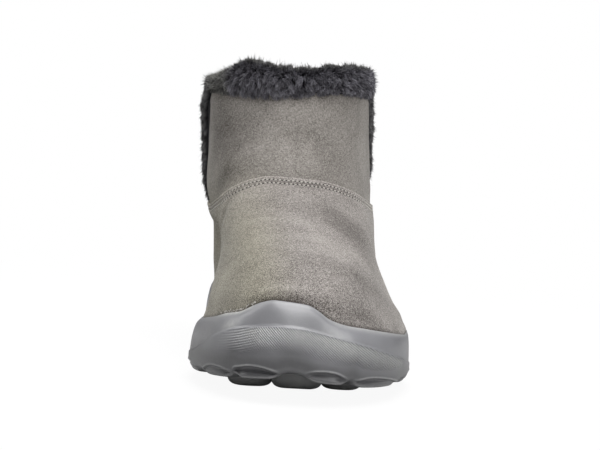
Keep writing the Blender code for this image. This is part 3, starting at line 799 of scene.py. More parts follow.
def makeSole():
    # The whole moulded sole as one closed shell, with rows gathered at the lip, the lobes and the scoops.
    clock = evenColumns(form["soleOutline"], sole["columnFront"], sole["columnBack"], sole["frontWithin"])
    rings, lip, edge = soleControlRings(clock)
    wallEnd = lip + len(sole["wallProfile"])
    cornerEnd = wallEnd + len(sole["bottomCurve"]) + 1
    stops = (0, lip - 1, lip + 1, lip + 4, wallEnd - 2, wallEnd + 1, cornerEnd - 1, cornerEnd, len(rings) - 1)
    at = np.concatenate([*(np.arange(*span) for span in zip(stops, stops[1:], sole["rowSteps"])), [stops[-1]]])
    points = throughRings(rings, at)
    outside = ((at > lip + 1.5) & (at < len(rings) - len(sole["underShares"]) - 1))[:, None]
    relief, hollow = soleRelief(points, clock, edge)
    points = points - gridNormals(points, True) * (relief * outside)[..., None]
    height, pastLip = points[..., 2], at[:, None] - lip
    atLip = bell(pastLip - 1.35, 0.6)
    inner, middle, *reach = sole["innerDust"]
    outer, start, fadeIn, *end = sole["outerDust"]
    dustingAndSheen = (sole["lipDust"] + inner * fading(np.abs(clock - middle), *reach)
               + outer * ease((clock - start) / fadeIn) * fading(clock, *end))
    dustingAndSheen = atLip * dustingAndSheen + 0.04 * (1 - hollow * outside)
    down, share, ends = scoopPlace(clock, height, edge)
    # painted highlight along each scoop's raised upper lip and along the raised line over the lower edge
    lipHighlight = bell(down + sole["lipOver"], 0.4) * ends
    lipHighlight += 0.8 * bell(height - edge - sole["edgeLine"], 0.45) * (share < 1.2) * ends
    # painted shade: in the scoops under their lips, toward the lower edge, in the crevice where the upper meets the
    # lip, and on the wall above the band line
    paintedShade = 0.85 * scoopHollow(down, share, ends, 0.6) + lowPaintedShade(clock, height - edge) * (1 - lipHighlight)
    paintedShade += 0.95 * bell(pastLip + 0.35, 0.5)
    above = height - bandLineHeight(clock)
    paintedShade += aroundClock(clock, sole["wallShade"]) * ease(above / 2.0 + 0.5) * (1 - atLip)
    # painted highlights on the wall by the band line
    for middle, width, rise, spread, amount in sole["sheens"]:
        dustingAndSheen += amount * bell(clock - middle, width) * bell(above - rise, spread) * (1 - paintedShade.clip(0, 1))
    marks = {"dustingAndSheen": np.clip(dustingAndSheen + 0.4 * lipHighlight, 0, 1), "paintedShade": np.clip(paintedShade, 0, 1)}
    piece = makeGrid("foam_sole", points, soleFoam, closedRound=True, poles=True, inward=True, marks=marks)
    return placed(piece, ("midsole",))


def makeRibBand():
    # Fine slanting ribs in the toe's wall: ridges of cos(height + fall of the rib line along the wall).
    clock = np.arange(ribs["from"], ribs["to"], ribs["step"])
    wide = np.arange(-100.0, 100.0, 0.25)
    controls, lip, edgeWide = soleControlRings(wide)
    wall = throughRings(controls, np.linspace(lip + 1, lip + len(sole["wallProfile"]), 160))[::-1]
    share = np.linspace(-0.04, 1.0, ribs["rows"])
    lineWide = bandLineHeight(wide)
    reach = np.clip(lineWide - edgeWide - ribs["clear"], 2.0, ribs["reach"])
    keep = (wide >= ribs["from"] - 1) & (wide <= ribs["to"] + 1)
    grid = np.array([lineAt(lineWide[k] - share * reach[k], wall[:, k, 2], wall[:, k]) for k in np.flatnonzero(keep)])
    points = np.array([lineAt(clock, wide[keep], grid[:, row]) for row in range(ribs["rows"])])
    along = arcLength(points[ribs["rows"] // 3])
    along = along - np.interp(0.0, clock, along)
    slanting = ease((along - ribs["crossing"][0]) / (ribs["crossing"][1] - ribs["crossing"][0]))
    dense = np.linspace(-90, 90, 721)
    ridge = 0.0
    for falls, part in ((ribs["fall"], slanting), (ribs["levelFall"], 1 - slanting)):
        drop = runningTotal(readTable(dense, falls)[:-1, 0]) * (dense[1] - dense[0])
        phase = 2 * np.pi * (points[..., 2] + np.interp(along, dense, drop)) / ribs["pitch"]
        ridge = ridge + (0.5 + 0.5 * np.cos(phase)) ** ribs["sharpness"] * np.sqrt(part)
    ridge = np.minimum(ridge, ribs["most"])
    edge = np.interp(clock, wide, edgeWide)
    above = points[..., 2] - edge
    down = share[:, None] * np.interp(clock, wide, reach)
    start, end, least = ribs["faint"]
    fade = ease(down / 0.5) * fading(down, *ribs["fadeDown"]) * ease((above - ribs["clear"]) / ribs["fadeUp"])
    fade = fade * ease((clock - ribs["from"]) / ribs["fadeIn"]) * ease((ribs["to"] - clock) / ribs["fadeOut"])
    fade = fade * (least + (1 - least) * ease((along - start) / (end - start)))
    relief, _ = soleRelief(points, clock, edge)
    lift = relief - ribs["sunk"] * (1 - fade) + fade * (0.02 + ribs["height"] * ridge)
    lift[0] -= 0.5
    normals = -gridNormals(points, False)
    outer = points + normals * lift[..., None]
    inner = points + normals * (relief - ribs["thick"])[..., None]
    # painted highlight on the ridges, strongest just under the band line and about the lit clock angle, and painted
    # shade in the valleys and toward the lower edge
    light = ease(down / 2.2) * (1 + bells(clock, ribs["lit"])) * (1.2 - 1.1 * ease((down - 1.0) / 10.0))
    marks = {"dustingAndSheen": (0.20 + 0.40 * ridge) * fade * light,
             "paintedShade": 0.25 * (1 - np.minimum(ridge, 1)) * fade + lowPaintedShade(clock, above)}
    piece = makeSlab("toe_rib_band", outer[::-1], inner[::-1], soleFoam, {k: v[::-1] for k, v in marks.items()})
    return placed(piece, ())


makeSole()
makeRibBand()
print("sole ready")


pods = {
    # CAD node's last words, centre x and y, size across and along
    "places": (
        ("toe_inner", -23.3, -73.5, 21.5, 24), ("toe_middle", -2.6, -84.5, 23.8, 25),
        ("toe_outer", 19.2, -70.5, 19.8, 25), ("ball_inner", -22.5, -47.5, 21.5, 27),
        ("ball_middle", 1, -47.5, 21.5, 28), ("ball_outer", 24.5, -41.5, 21.5, 28),
        ("waist_inner", -14, -18, 21.5, 25), ("waist_outer", 10.5, -15, 21.5, 26),
        ("heel_front_inner", -10.4, 62, 17.5, 26), ("heel_front_outer", 10.4, 62, 17.5, 26),
        ("heel_back_inner", -8.8, 89, 14.5, 23), ("heel_back_outer", 8.8, 89, 14.5, 23)),
    "ground": ((-134, 12), (-92, 2.6), (-76, 0.8), (-62, 0), (134, 0)),    # y, height
    "clearance": 0.45, "pointsRound": 56,
    # share of the radius, share of the height: domed side, rounded tread edge and two ring grooves
    "profile": (
        (0.05, 1), (0.5, 1), (0.93, 1), (0.975, 0.97), (0.99, 0.90), (1, 0.78), (0.998, 0.60), (0.985, 0.45),
        (0.96, 0.33), (0.92, 0.235), (0.87, 0.155), (0.81, 0.10), (0.74, 0.055), (0.66, 0.025), (0.58, 0.005),
        (0.52, 0), (0.50, 0.08), (0.45, 0.11), (0.40, 0.08), (0.38, 0), (0.31, 0), (0.29, 0.08), (0.25, 0.11),
        (0.21, 0.08), (0.19, 0), (0.10, 0), (0.03, 0)),
}


def makePods():
    # Each pod is a profile of radius and height shares turned round an ellipse between the sole and the ground.
    turn = np.radians(np.arange(pods["pointsRound"]) * 360 / pods["pointsRound"])
    radius, tall = np.array(pods["profile"])[::-1].T[..., None]
    for name, x, y, across, along in pods["places"]:
        px = x - middleX + radius * across / 2 * np.sin(turn)
        py = y - radius * along / 2 * np.cos(turn)
        low = readTable(py, pods["ground"])[..., 0]
        rise = (undersideHeight(py) - pods["clearance"] - low) * tall
        piece = makeGrid("pod_" + name, np.stack([px, py, low + rise], axis=-1), podRubber, closedRound=True,
                         poles=True, marks={"dustingAndSheen": 0.35 * (1 - ease(rise / 1.2))})
        placed(piece, ("outsole_pod_" + name,))


makePods()
print("pods ready")


upper = {
    "vampOut": 0.35, "vampThick": 1.5, "vampBelowRim": 3.5,
    "panelOut": 0.15, "panelUnderSeam": -0.75, "panelRise": 9.0, "panelThick": 1.5, "panelTop": 134.5,
    "panelCorners": (13.0, 8.0), "overlap": 5.0,    # corner radii at the front panel's inner and outer edge
    "backingOut": -1.7, "backingDrop": 3.5,
    "stitchRows": (1.5, 2.95), "stitchDip": 0.25,
    # amount, middle and width: the vamp's raised band and tones by millimetres below its cut edge, the panels' bead
    # and tone by millimetres from their slits, and their painted shadow, cast by the vamp's edge, by millimetres above
    # the cut edge
    "edgeBand": (0.16, 0.5, 0.6), "edgeTones": ((0.75, 0.25, 0.55), (-0.75, 2.35, 1.25)),
    "panelBead": ((0.18, 1.2, 0.9),), "slitTone": ((0.35, 0.0, 0.6),), "shadowAboveCutEdge": ((-0.3, 0.0, 1.5),),
    # the last value is how much painted shade darkens the suede in the crevice just above the sole's rim
    "edgeRound": 0.45, "panelRound": 0.55, "heelDip": 0.35, "rimTuck": 0.25, "rimCreviceShade": 1.5,
    # millimetres of the vamp's close rows below its cut edge, and how many even rows lie under them
    "closeRows": (0, 0.12, 0.3, 0.5, 0.8, 1.1, 1.4, 1.7, 2, 2.3, 2.6, 2.9, 3.2, 3.5, 3.9, 4.4, 5), "evenRows": 62,
    "panelColumns": 150,
    # clock angle, height, angle from level, half length, half width, depth: soft creases of the last
    "creases": (
        (-64, 74, 72, 13, 3.6, 1.3), (-82, 66, 60, 12, 5, 1), (-104, 55, 20, 12, 4, 1.1), (-52, 80, 78, 9, 3.5, -0.5),
        (66, 70, -70, 13, 5, 0.7), (80, 58, -40, 11, 4.5, 0.6), (0, 72, 0, 22, 5, 0.35), (8, 62, 4, 24, 6, -0.35),
        (-20, 50, -6, 20, 4, 0.25), (110, 100, 10, 18, 6, 0.6), (150, 92, -8, 22, 5, 0.8), (-150, 94, 8, 22, 5, 0.8),
        (-40, 112, 30, 15, 7, 0.4), (35, 106, -35, 17, 7, 0.35), (0, 102, 0, 20, 5, 0.4)),
    # clock angle, height, angle, half length, half width, tone: where the nap lies paler or deeper, with painted
    # highlights and painted shade among them, such as the highlight across the toe and shaft front, and shade above the
    # bumper, on the sides turned from the light and along creases
    "napAndLightPatches": (
        (-4, 51.5, 0, 20, 3, 0.5), (0, 75, 0, 22, 12, 0.28), (-8, 47.5, 0, 24, 2.6, -0.55),
        (24, 43, -18, 20, 4, -0.35), (-36, 43, 14, 10, 3, -0.25), (-60, 77, 70, 12, 3, -0.55),
        (-50, 92, 70, 10, 8, -0.35), (-58, 62, 60, 14, 8, -0.30), (-64, 108, 85, 24, 10, -1),
        (-44, 94, 30, 15, 8, -0.75), (0, 123, 0, 34, 9, 0.8), (6, 108, 0, 30, 9, 0.35), (62, 112, 85, 22, 9, 0.85),
        (47, 70, 80, 24, 18, -1.05), (50, 46, -25, 22, 10, -0.75), (36, 38, -20, 18, 6.5, -0.8),
        (-62, 44, 5, 20, 9, 0.55), (-61.5, 75, 55, 7.5, 2.8, -0.7), (4, 71, 0, 8.5, 4, 0.35),
        (26.5, 69.5, -60, 7, 3.3, -0.45), (4, 63.8, -3, 11, 1.8, -0.3), (-36.8, 56.2, 31, 10.5, 2, -0.35),
        (-41.2, 58.4, 31, 10, 2.2, 0.25), (-2, 52.2, 0, 14, 1.7, 0.35), (39.2, 53.8, -40, 8, 4, -0.35),
        (46.2, 83, -35, 8, 1.5, -0.4), (56.2, 69.8, 80, 8, 4, -0.3), (-21.5, 81.5, 20, 9, 3, 0.15),
        (-55.5, 61.2, 75, 8, 4, 0.2), (-5.2, 78.2, 0, 10, 2.5, -0.2), (-49.8, 114.2, 80, 6, 4, -0.4),
        (-38.2, 105, 60, 8, 4, -0.3), (-13.8, 103.5, 20, 8, 4, 0.2), (-52, 94.2, 30, 6, 4, -0.35),
        (16.8, 110.8, 85, 7, 2.6, -0.2), (52.2, 121.5, 88, 6, 1.6, -0.4)),
}


def napMoss(points):
    # How olive the nap lies: more on the inner side of the toe and shaft, from the points' own places.
    return ease((-points[..., 0] - 4.0) / 26.0) * ease((110.0 - points[..., 2]) / 50.0)


def patchSum(points, rows):
    # Sum over a table of bell-shaped patches, value * bell(along, length) * bell(across, width), laid on the form.
    total = np.zeros(points.shape[:-1])
    for middleClock, middleHeight, angle, length, width, value in rows:
        normal = outward(middleClock, middleHeight)
        alongWay, acrossWay = turnedWays(normal, math.radians(angle))
        apart = points - upperFace(middleClock, middleHeight)
        near = np.exp(-((apart @ normal) / 22.0) ** 4)
        total += value * near * bell(apart @ alongWay, length) * bell(apart @ acrossWay, width)
    return total


def seamHeight(clock):
    return aroundClock(clock, form["seam"])


def makeVamp():
    # The lower part, all round from inside the sole's rim to its cut edge, as one ring with thickness.
    clock = clockColumns(0.7, 1.0, 80.0)
    rim, seam = aroundClock(clock, form["rim"]), seamHeight(clock)
    low = rim - upper["vampBelowRim"]
    share = np.linspace(0, 1, upper["evenRows"])[:, None]
    heights = np.concatenate([low + (seam - 5.6 - low) * share, seam - np.array(upper["closeRows"])[::-1, None]])
    flat = upperFace(clock, heights)
    apart = seam - heights
    dips = [(-upper["stitchDip"], row, 0.55) for row in upper["stitchRows"]]
    out = upper["vampOut"] - patchSum(flat, upper["creases"]) + bells(apart, [upper["edgeBand"], *dips])
    out -= upper["heelDip"] * bell(180.0 - np.abs(clock), 0.9) + upper["edgeRound"] * ease(1 - apart / 0.35)
    out -= upper["rimTuck"] * ease((rim + 1.0 - heights) / 3.0)
    # tone: the nap's own tone with painted highlights and painted shade, and the cut edge's tones
    tone = patchSum(flat, upper["napAndLightPatches"]) + bells(apart, upper["edgeTones"])
    # painted shade in the crevice just above the sole's rim
    tone -= upper["rimCreviceShade"] * bell(np.maximum(heights - rim - 0.2, 0), 1.0)
    outer = offsetFace(clock, heights, out)
    inner = offsetFace(clock, heights[::-6], (out - upper["vampThick"])[::-6])
    points = np.concatenate([outer, inner])
    marks = {"napToneAndShade": np.concatenate([tone, 0 * inner[..., 0] - 0.3]), "napMoss": napMoss(points)}
    piece = makeGrid("vamp", points, vampSuede, closedRound=True, closedUp=True, marks=marks)
    return placed(piece, ("upper",))


gusset = {
    "top": 134.0, "middle": 58.0, "halfTop": 13.0, "halfPoint": 1.6, "cadTop": 130.5,
    "inner": {"side": -1.0, "point": 75.0, "rise": 4.1, "frontShare": 0.62},
    "outer": {"side": 1.0, "point": 86.0, "rise": 1.6, "frontShare": 1.0},
    "fibres": {"inner": 13000, "outer": 9500},
    "pileDepth": 2.6, "padDepth": 4.4, "combing": 2.6, "overlap": 0.2,
    "fibreWidth": 0.34, "tuft": 2.3, "gather": 0.5, "tuftTurn": 0.6, "tuftHeight": 0.5, "ownTurn": 0.4,
    "stray": 0.05, "strayHeight": 1.4, "sag": (-0.3, 0.35), "seeds": {"inner": 31, "outer": 32},
    "crownLeast": 0.9, "crownTop": (0.35, 122.0, 8.0),    # share by which the crown falls at the top, from a height
}


def gussetHalf(height, which):
    # Half width of the slit, falling straight from the top to its point.
    share = (gusset["cadTop"] - height) / (gusset["cadTop"] - gusset[which]["point"])
    return np.maximum(gusset["halfTop"] + (gusset["halfPoint"] - gusset["halfTop"]) * share, 0.4)


def clockAt(y, height, side):
    # Clock angle of the point at a length y on one side of the form: the outline's formula turned round.
    section = np.moveaxis(readTable(height, form["sections"]), -1, 0)
    ahead = np.clip(1 - 2 * (y - section[0]) / (section[2] - section[0]), -1, 1)
    return side * np.degrees(np.arccos(np.sign(ahead) * np.abs(ahead) ** (section[8] / 2)))


def panelEdge(height, which, front):
    # Clock angle of a panel's edge along the slit: half the slit's width and a little more from its middle line.
    side = gusset[which]["side"]
    half = gussetHalf(height, which) * (gusset[which]["frontShare"] if front else 1.0) + 0.35
    return clockAt(gusset["middle"] + (-half if front else half), height, side)


def makePanel(name, fromSlit, toSlit, back):
    # A shaft panel between two slits, from under the vamp to under the fur, with rounded upper corners.
    u = np.linspace(0, 1, upper["panelColumns"])
    u = u - 0.012 * np.sin(2 * np.pi * u)
    v = np.concatenate([np.linspace(0, 0.9, 60), np.linspace(0.915, 1.0, 12)])[:, None]
    height = np.full((len(v), len(u)), 100.0)
    for _ in range(4):
        start, end = panelEdge(height, fromSlit, not back), panelEdge(height, toSlit, not back) + 360.0 * back
        clock = start + (end - start) * u
        flat = upperFace(clock, height)
        reach, other = (np.linalg.norm(upperFace(side, height) - flat, axis=-1) for side in (start, end))
        near = np.minimum(reach, other)
        corner = np.where((reach < other) != back, *upper["panelCorners"])
        drop = corner - np.sqrt(np.maximum(corner ** 2 - np.maximum(corner - near, 0) ** 2, 0))
        bottom = seamHeight(clock) - upper["overlap"]
        height = bottom + (upper["panelTop"] - drop - bottom) * v
    apart = height - seamHeight(clock)
    flat = upperFace(clock, height)
    out = upper["panelUnderSeam"] + (upper["panelOut"] - upper["panelUnderSeam"]) * ease(apart / upper["panelRise"])
    out -= patchSum(flat, upper["creases"]) * ease(apart / 3.0)
    edge = np.minimum(near, np.maximum(upper["panelTop"] - height, 0) + 0.4)
    out += bells(near, upper["panelBead"]) - upper["panelRound"] * (1 - np.sqrt(np.clip(edge / 0.7, 0, 1)))
    # tone: the nap's own tone with painted highlights and painted shade, paler along the slits, and a painted shadow
    # just above the vamp's cut edge
    tone = patchSum(flat, upper["napAndLightPatches"]) + bells(near, upper["slitTone"]) + bells(apart, upper["shadowAboveCutEdge"])
    outer = offsetFace(clock, height, out - upper["heelDip"] * back * bell(clock - 180.0, 1.2))
    inner = offsetFace(clock, height, np.minimum(out, upper["panelOut"]) - upper["panelThick"] * ease(near / 1.5 + 0.5))
    return placed(makeSlab(name, outer, inner, shaftSuede, {"napToneAndShade": tone, "napMoss": napMoss(outer)}), ())


def makeBacking():
    # The wall behind the suede: its hidden outer face, the pile lining inside it, and its top under the fur.
    clock = clockColumns(1.6, 2.4, 90.0)
    low = onFootbed(clock, 0.0, 0.4)[:, 2]
    top = form["shaftTop"] - upper["backingDrop"]
    heights = low + (top - low) * np.linspace(0, 1, 26)[:, None]
    outer = offsetFace(clock, heights, upper["backingOut"])
    outer[0] = onFootbed(clock, upper["backingOut"], 0.4)
    inner = offsetFace(clock, heights[::-1], -form["wall"])
    inner[0] = levelOffset(clock, top, -form["wall"])
    inner[-1] = onFootbed(clock, -form["wall"], 0.4)
    points = np.concatenate([outer, inner])
    return placed(makeGrid("lining", points, liningPlush, closedRound=True, closedUp=True), ())


makeVamp()
makePanel("shaft_front", "inner", "outer", False)
makePanel("shaft_back", "outer", "inner", True)
makeBacking()
print("upper ready")


def growPile(name, roots, middles, tips, settings, tint, oliveAndRimLight, draw):
    # Pile as ribbons: two corners at the root, two halfway and one at the tip, each ribbon turned its own way.
    count = len(roots)
    width = settings["fibreWidth"] * draw.uniform(0.6, 1.3, (count, 1)) / 2
    side = unit(np.cross(tips - roots, draw.normal(0, 1, (count, 3)))) * width
    points = np.stack([roots - side, roots + side, middles - side * 0.85, middles + side * 0.85, tips], axis=1)
    first = np.arange(count)[:, None] * 5
    marks = {"alongFibre": [0.0, 0.0, 0.5, 0.5, 1.0], "fibreTint": tint[:, None], "fibreOliveAndRimLight": oliveAndRimLight[:, None]}
    marks = {key: np.broadcast_to(value, (count, 5)) for key, value in marks.items()}
    piece = makeMesh(name, points, first + [[0, 1, 3, 2]], first + [[2, 3, 4]], collarPile, marks)
    return placed(piece, ())


def inTufts(place, level, settings, draw):
    # Fibres rooted at places and levels gather in tufts on a jittered net. Each tip is drawn toward its tuft's
    # middle, and turned with the tuft and on its own. Gives the tips' places and levels, their tufts' height and tint.
    roots, cell = np.stack([place, level], axis=-1), settings["tuft"]
    number = np.floor(roots / cell).astype(int)
    own = number - number.min(axis=0)
    shape = own.max(axis=0) + 1
    own = tuple(own.T)
    middle = draw.uniform(0.15, 0.85, (*shape, 2))[own]
    turn = draw.normal(0, 1, (*shape, 2))[own]
    height, tint = (draw.normal(0, 1, shape)[own] for _ in range(2))
    tips = roots + ((number + middle) * cell - roots) * settings["gather"] + turn * settings["tuftTurn"]
    tips += draw.normal(0, settings["ownTurn"], roots.shape)
    return *tips.T, height, tint


def fibreLift(height, settings, draw):
    # How far a fibre stands out: its tuft's height, its own sag, and a few strays far out.
    count = len(height)
    stray = (draw.uniform(0, 1, count) < settings["stray"]) * draw.uniform(0.3, 1.0, count) * settings["strayHeight"]
    return height * settings["tuftHeight"] + draw.normal(*settings["sag"], count) + stray


def fibreShade(tint, draw):
    return np.clip(0.5 + tint * 0.22 + draw.normal(0, 0.16, len(tint)), 0, 1.3)


collar = {
    # millimetres along the profile, out from the upper's face, height above the wall's top edge: the fibres' tips
    "profile": (
        (0, 0.5, -10), (3, 2.1, -7.4), (7.5, 2.9, -3), (13, 2.4, 2.6), (17.2, 0.4, 6.3), (21, -3, 7.9),
        (25.4, -7.2, 6.6), (30.7, -9.8, 2), (37.7, -10.2, -5), (46.7, -9, -14)),
    # clock angle, rise of the top, share of the outward swell, height of the lowest tips
    "round": (
        (-180, -4.9, 1, 131), (-148, -5.6, 1, 130.8), (-130, -6.8, 0.9, 130.6), (-114, -9.4, 0.72, 130.4),
        (-76, -9.6, 0.72, 130.1), (-62, -6.8, 0.8, 130.1), (-51, -3, 0.95, 129.7), (-38, 1.2, 1, 129.2),
        (-14, -0.6, 1, 129.2), (-4, -1.2, 1, 130.4), (5, -0.8, 1, 131.6), (16, 0, 1, 132.6), (29, 0.9, 0.95, 133.2),
        (43, 0.9, 0.85, 132.8), (60, 0.2, 0.6, 131.6), (75, -0.8, 0.5, 131), (110, -1.6, 0.7, 130.5),
        (180, -4.9, 1, 131)),
    "pileDepth": 3.4,
    # millimetres along the profile, how far above its tip a fibre is rooted
    "combing": ((0, 4.2), (5, 3.6), (11, 2.2), (17, 0.8), (22, -0.4), (30, -1.6), (46.7, -2.6)),
    "fibreWidth": 0.42, "tuft": 2.3, "gather": 0.5, "tuftTurn": 1.0, "tuftHeight": 0.6, "ownTurn": 0.8,
    # backLight is how much painted back light brightens the tips over the top behind
    "stray": 0.05, "strayHeight": 2.6, "sag": (-0.35, 0.4), "backLight": 0.8, "rootsFrom": 4.5,
    # where the fur turns over the top, and clock angles where painted olive rim light lies on the inner side and
    # painted back light makes the tips paler behind, each with its span
    "overTop": (15.0, 6.0), "oliveAndRimLight": (42.0, 14.0), "behind": (110.0, 40.0),
    # piece, clock angles, millimetres along the profile, fibres, seed
    "parts": (("fur_collar_front", -100.0, 100.0, 0.0, 25.0, 45000, 21),
              ("fur_collar_back", 100.0, 260.0, 0.0, 25.0, 28000, 22),
              ("fur_collar_inside", -180.0, 180.0, 23.0, 45.0, 27000, 23)),
}


def collarSurface(clock, along):
    # A point where the fibres end, from the profile and its changes round the mouth.
    out, up = np.moveaxis(readTable(along, collar["profile"]), -1, 0)
    rise, swell, hem = np.moveaxis(readTable(wrapped(clock), collar["round"]), -1, 0)
    out = np.where(out > 0, out * swell + 0.25 * (1 - swell), out)
    up = np.where((up < 0) & (along < 20.0), up * (form["shaftTop"] - hem) / 10.0, up)
    point = levelOffset(clock, form["shaftTop"] + np.minimum(up, 0.0), out)
    point[..., 2] = form["shaftTop"] + up + rise * np.clip((up + 8.0) / 15.9, 0.0, 1.0)
    return point


def collarFrame(clock, along):
    # The surface's point and its normal.
    clock, along = together(clock, along)
    roundWay = collarSurface(clock + 0.8, along) - collarSurface(clock - 0.8, along)
    upWay = (collarSurface(clock, np.minimum(along + 0.3, collar["profile"][-1][0]))
             - collarSurface(clock, np.maximum(along - 0.3, 0.0)))
    return collarSurface(clock, along), unit(np.cross(unit(roundWay), unit(upWay)))


def makeCollarSkin():
    # The roll's skin as a closed ring below the tips.
    along = np.linspace(collar["rootsFrom"], collar["profile"][-1][0] - 1.0, 44)[:, None]
    point, normal = collarFrame(clockColumns(2.0, 3.0, 90.0), along)
    skin = point - normal * collar["pileDepth"]
    body = np.concatenate([skin, [skin[-1] * (1 - k) + skin[0] * k for k in (0.33, 0.66)]])
    placed(makeGrid("fur_collar_skin", body, liningPlush, closedRound=True, closedUp=True), ("fur_collar",))


def makeCollarPile():
    # The roll's fibres in a front, a back and an inner piece, combed down outside and inward over the top.
    fine = np.linspace(-180, 540, 2881)
    arc = arcLength(upperFace(wrapped(fine), form["shaftTop"] - 2.0))
    for name, start, end, lowest, highest, count, seed in collar["parts"]:
        draw = np.random.default_rng(seed)
        place = draw.uniform(*np.interp([start, end], fine, arc), count)
        tipAlong = draw.uniform(lowest, highest, count)
        combed = readTable(tipAlong, collar["combing"])[..., 0] * draw.uniform(0.75, 1.25, count)
        rootAlong = np.clip(tipAlong + combed, collar["rootsFrom"], 46.0)
        tipPlace, tipAlong, height, tint = inTufts(place, rootAlong, collar, draw)
        tipAlong = np.clip(tipAlong - combed, 0, collar["profile"][-1][0])
        clock = np.interp(place, arc, fine)
        root, rootNormal = collarFrame(clock, rootAlong)
        tip, tipNormal = collarFrame(np.interp(tipPlace, arc, fine), tipAlong)
        atHem = ease(tipAlong / 6.0)
        tips = tip + tipNormal * (fibreLift(height, collar, draw) * (0.35 + 0.65 * atHem))[:, None]
        roots = root - rootNormal * (collar["pileDepth"] + 0.2)
        middles = (roots + tips) / 2 + (rootNormal + tipNormal * 0.5) * (0.55 + 0.6 * (1 - atHem))[:, None]
        shade = fibreShade(tint, draw)
        clock = wrapped(clock)
        # painted rim light: olive, paler tips over the top and on the inner side; painted back light makes the tips
        # over the top paler behind
        overTop = 1 - fading(tipAlong, *collar["overTop"])
        oliveAndRimLight = overTop * 0.7 + 0.8 * (1 - fading(-clock, *collar["oliveAndRimLight"])) + draw.normal(0, 0.15, count)
        shade = shade + collar["backLight"] * overTop * (1 - fading(np.abs(clock), *collar["behind"]))
        growPile(name, roots, middles, tips, collar, shade, np.clip(oliveAndRimLight, 0, 1), draw)


def gussetFace(around, height, which, out):
    # Points and normals of the slit's pile: crowned across the slit, thin at its edges and toward its point.
    half = gussetHalf(height, which)
    clock = clockAt(gusset["middle"] + around, height, gusset[which]["side"])
    across = 1 - (around / (half + 0.8)) ** 2
    crown = np.sqrt(np.clip(across, 0.02, 1) * np.clip(half / gusset["halfTop"], 0, 1))
    share, start, span = gusset["crownTop"]
    crown = crown * (1 - share * ease((height - start) / span)) * (gusset["crownLeast"] + gusset[which]["rise"])
    normal = outward(clock, height)
    return upperFace(clock, height) + normal * (out + crown)[..., None], normal


def makeGusset(which):
    # The pile pad in one slit: a closed backing pad, and fibres that stand out of the slit and hang down.
    settings = gusset[which]
    front, point = settings["frontShare"], settings["point"]
    draw = np.random.default_rng(gusset["seeds"][which])
    height = np.linspace(point - 1.0, gusset["top"], 40)[:, None]
    across = np.linspace(-1, 1, 15) * -settings["side"]
    around, height = np.broadcast_arrays(across * (gussetHalf(height, which) + 1.4), height)
    outer, normal = gussetFace(around, height, which, -gusset["pileDepth"])
    clock = clockAt(gusset["middle"] + around, height, settings["side"])
    inner = upperFace(clock, height) - normal * gusset["padDepth"]
    placed(makeSlab("fur_gusset_pad_" + which, outer[::-1], inner[::-1], liningPlush), ("fur_gusset_" + which,))

    count = gusset["fibres"][which]
    level = point + (gusset["top"] + 1.0 - point) * np.sqrt(draw.uniform(0.0, 1, count))
    place = draw.uniform(-front, 1, count) * gussetHalf(level, which)
    tipPlace, tipLevel, lift, tint = inTufts(place, level, gusset, draw)
    tipLevel = tipLevel - gusset["combing"] * draw.uniform(0.6, 1.3, count)
    bound = gussetHalf(tipLevel, which) + gusset["overlap"]
    roots, rootNormal = gussetFace(place, level, which, -gusset["pileDepth"] - 0.3)
    tipPlace, tipLevel = np.clip(tipPlace, -bound * front, bound), np.maximum(tipLevel, point - 2.0)
    tips, tipNormal = gussetFace(tipPlace, tipLevel, which, -0.2)
    tips = tips + tipNormal * fibreLift(lift, gusset, draw)[:, None]
    middles = (roots + tips) / 2 + rootNormal * 0.6
    shade = fibreShade(tint, draw)
    oliveAndRimLight = np.clip(draw.normal(0.5, 0.2, count), 0, 1)
    growPile("fur_gusset_pile_" + which, roots, middles, tips, gusset, shade, oliveAndRimLight, draw)


makeCollarSkin()
makeCollarPile()
makeGusset("inner")
makeGusset("outer")
print("fur ready")


stitching = {
    "pitch": 2.1, "rowOffset": 0.5, "tilts": (0.45, 0.4), "holeShadeTilt": 0.5,
    "size": (1.3, 0.9, 0.6), "holeShadeSize": (1.15, 1.6, 0.12),    # length, width, height
}


def beads(name, centres, alongWay, upWay, size, material, sink, seed):
    # Many small rounded threads in one mesh: an ellipsoid of few faces turned to each one's own directions.
    sides, levels = 7, (-62.0, -22.0, 22.0, 62.0)
    turn, rise = np.radians(np.arange(sides) * 360 / sides), np.radians(levels)[:, None]
    ring = np.broadcast_arrays(np.sin(rise), np.cos(rise) * np.cos(turn), np.cos(rise) * np.sin(turn))
    ring = np.stack(ring, axis=-1).reshape(-1, 3)
    shape = np.vstack([ring, [[-1.0, 0, 0], [1.0, 0, 0]]]) * 0.5
    draw = np.random.default_rng(seed)
    lengths = size[0] * draw.uniform(0.9, 1.08, (len(centres), 1, 1))
    points = (centres[:, None] + shape[:, :1] * lengths * alongWay[:, None] - upWay[:, None] * sink
              + shape[:, 1:2] * size[1] * np.cross(upWay, alongWay)[:, None] + shape[:, 2:] * size[2] * upWay[:, None])
    first = np.arange(len(centres))[:, None, None] * len(shape)
    quads, triangles = gridFaces(len(levels), sides, True, False), poleFans(len(levels), sides)
    piece = makeMesh(name, points, (quads + first).reshape(-1, 4), (triangles + first).reshape(-1, 3), material)
    return placed(piece, ())


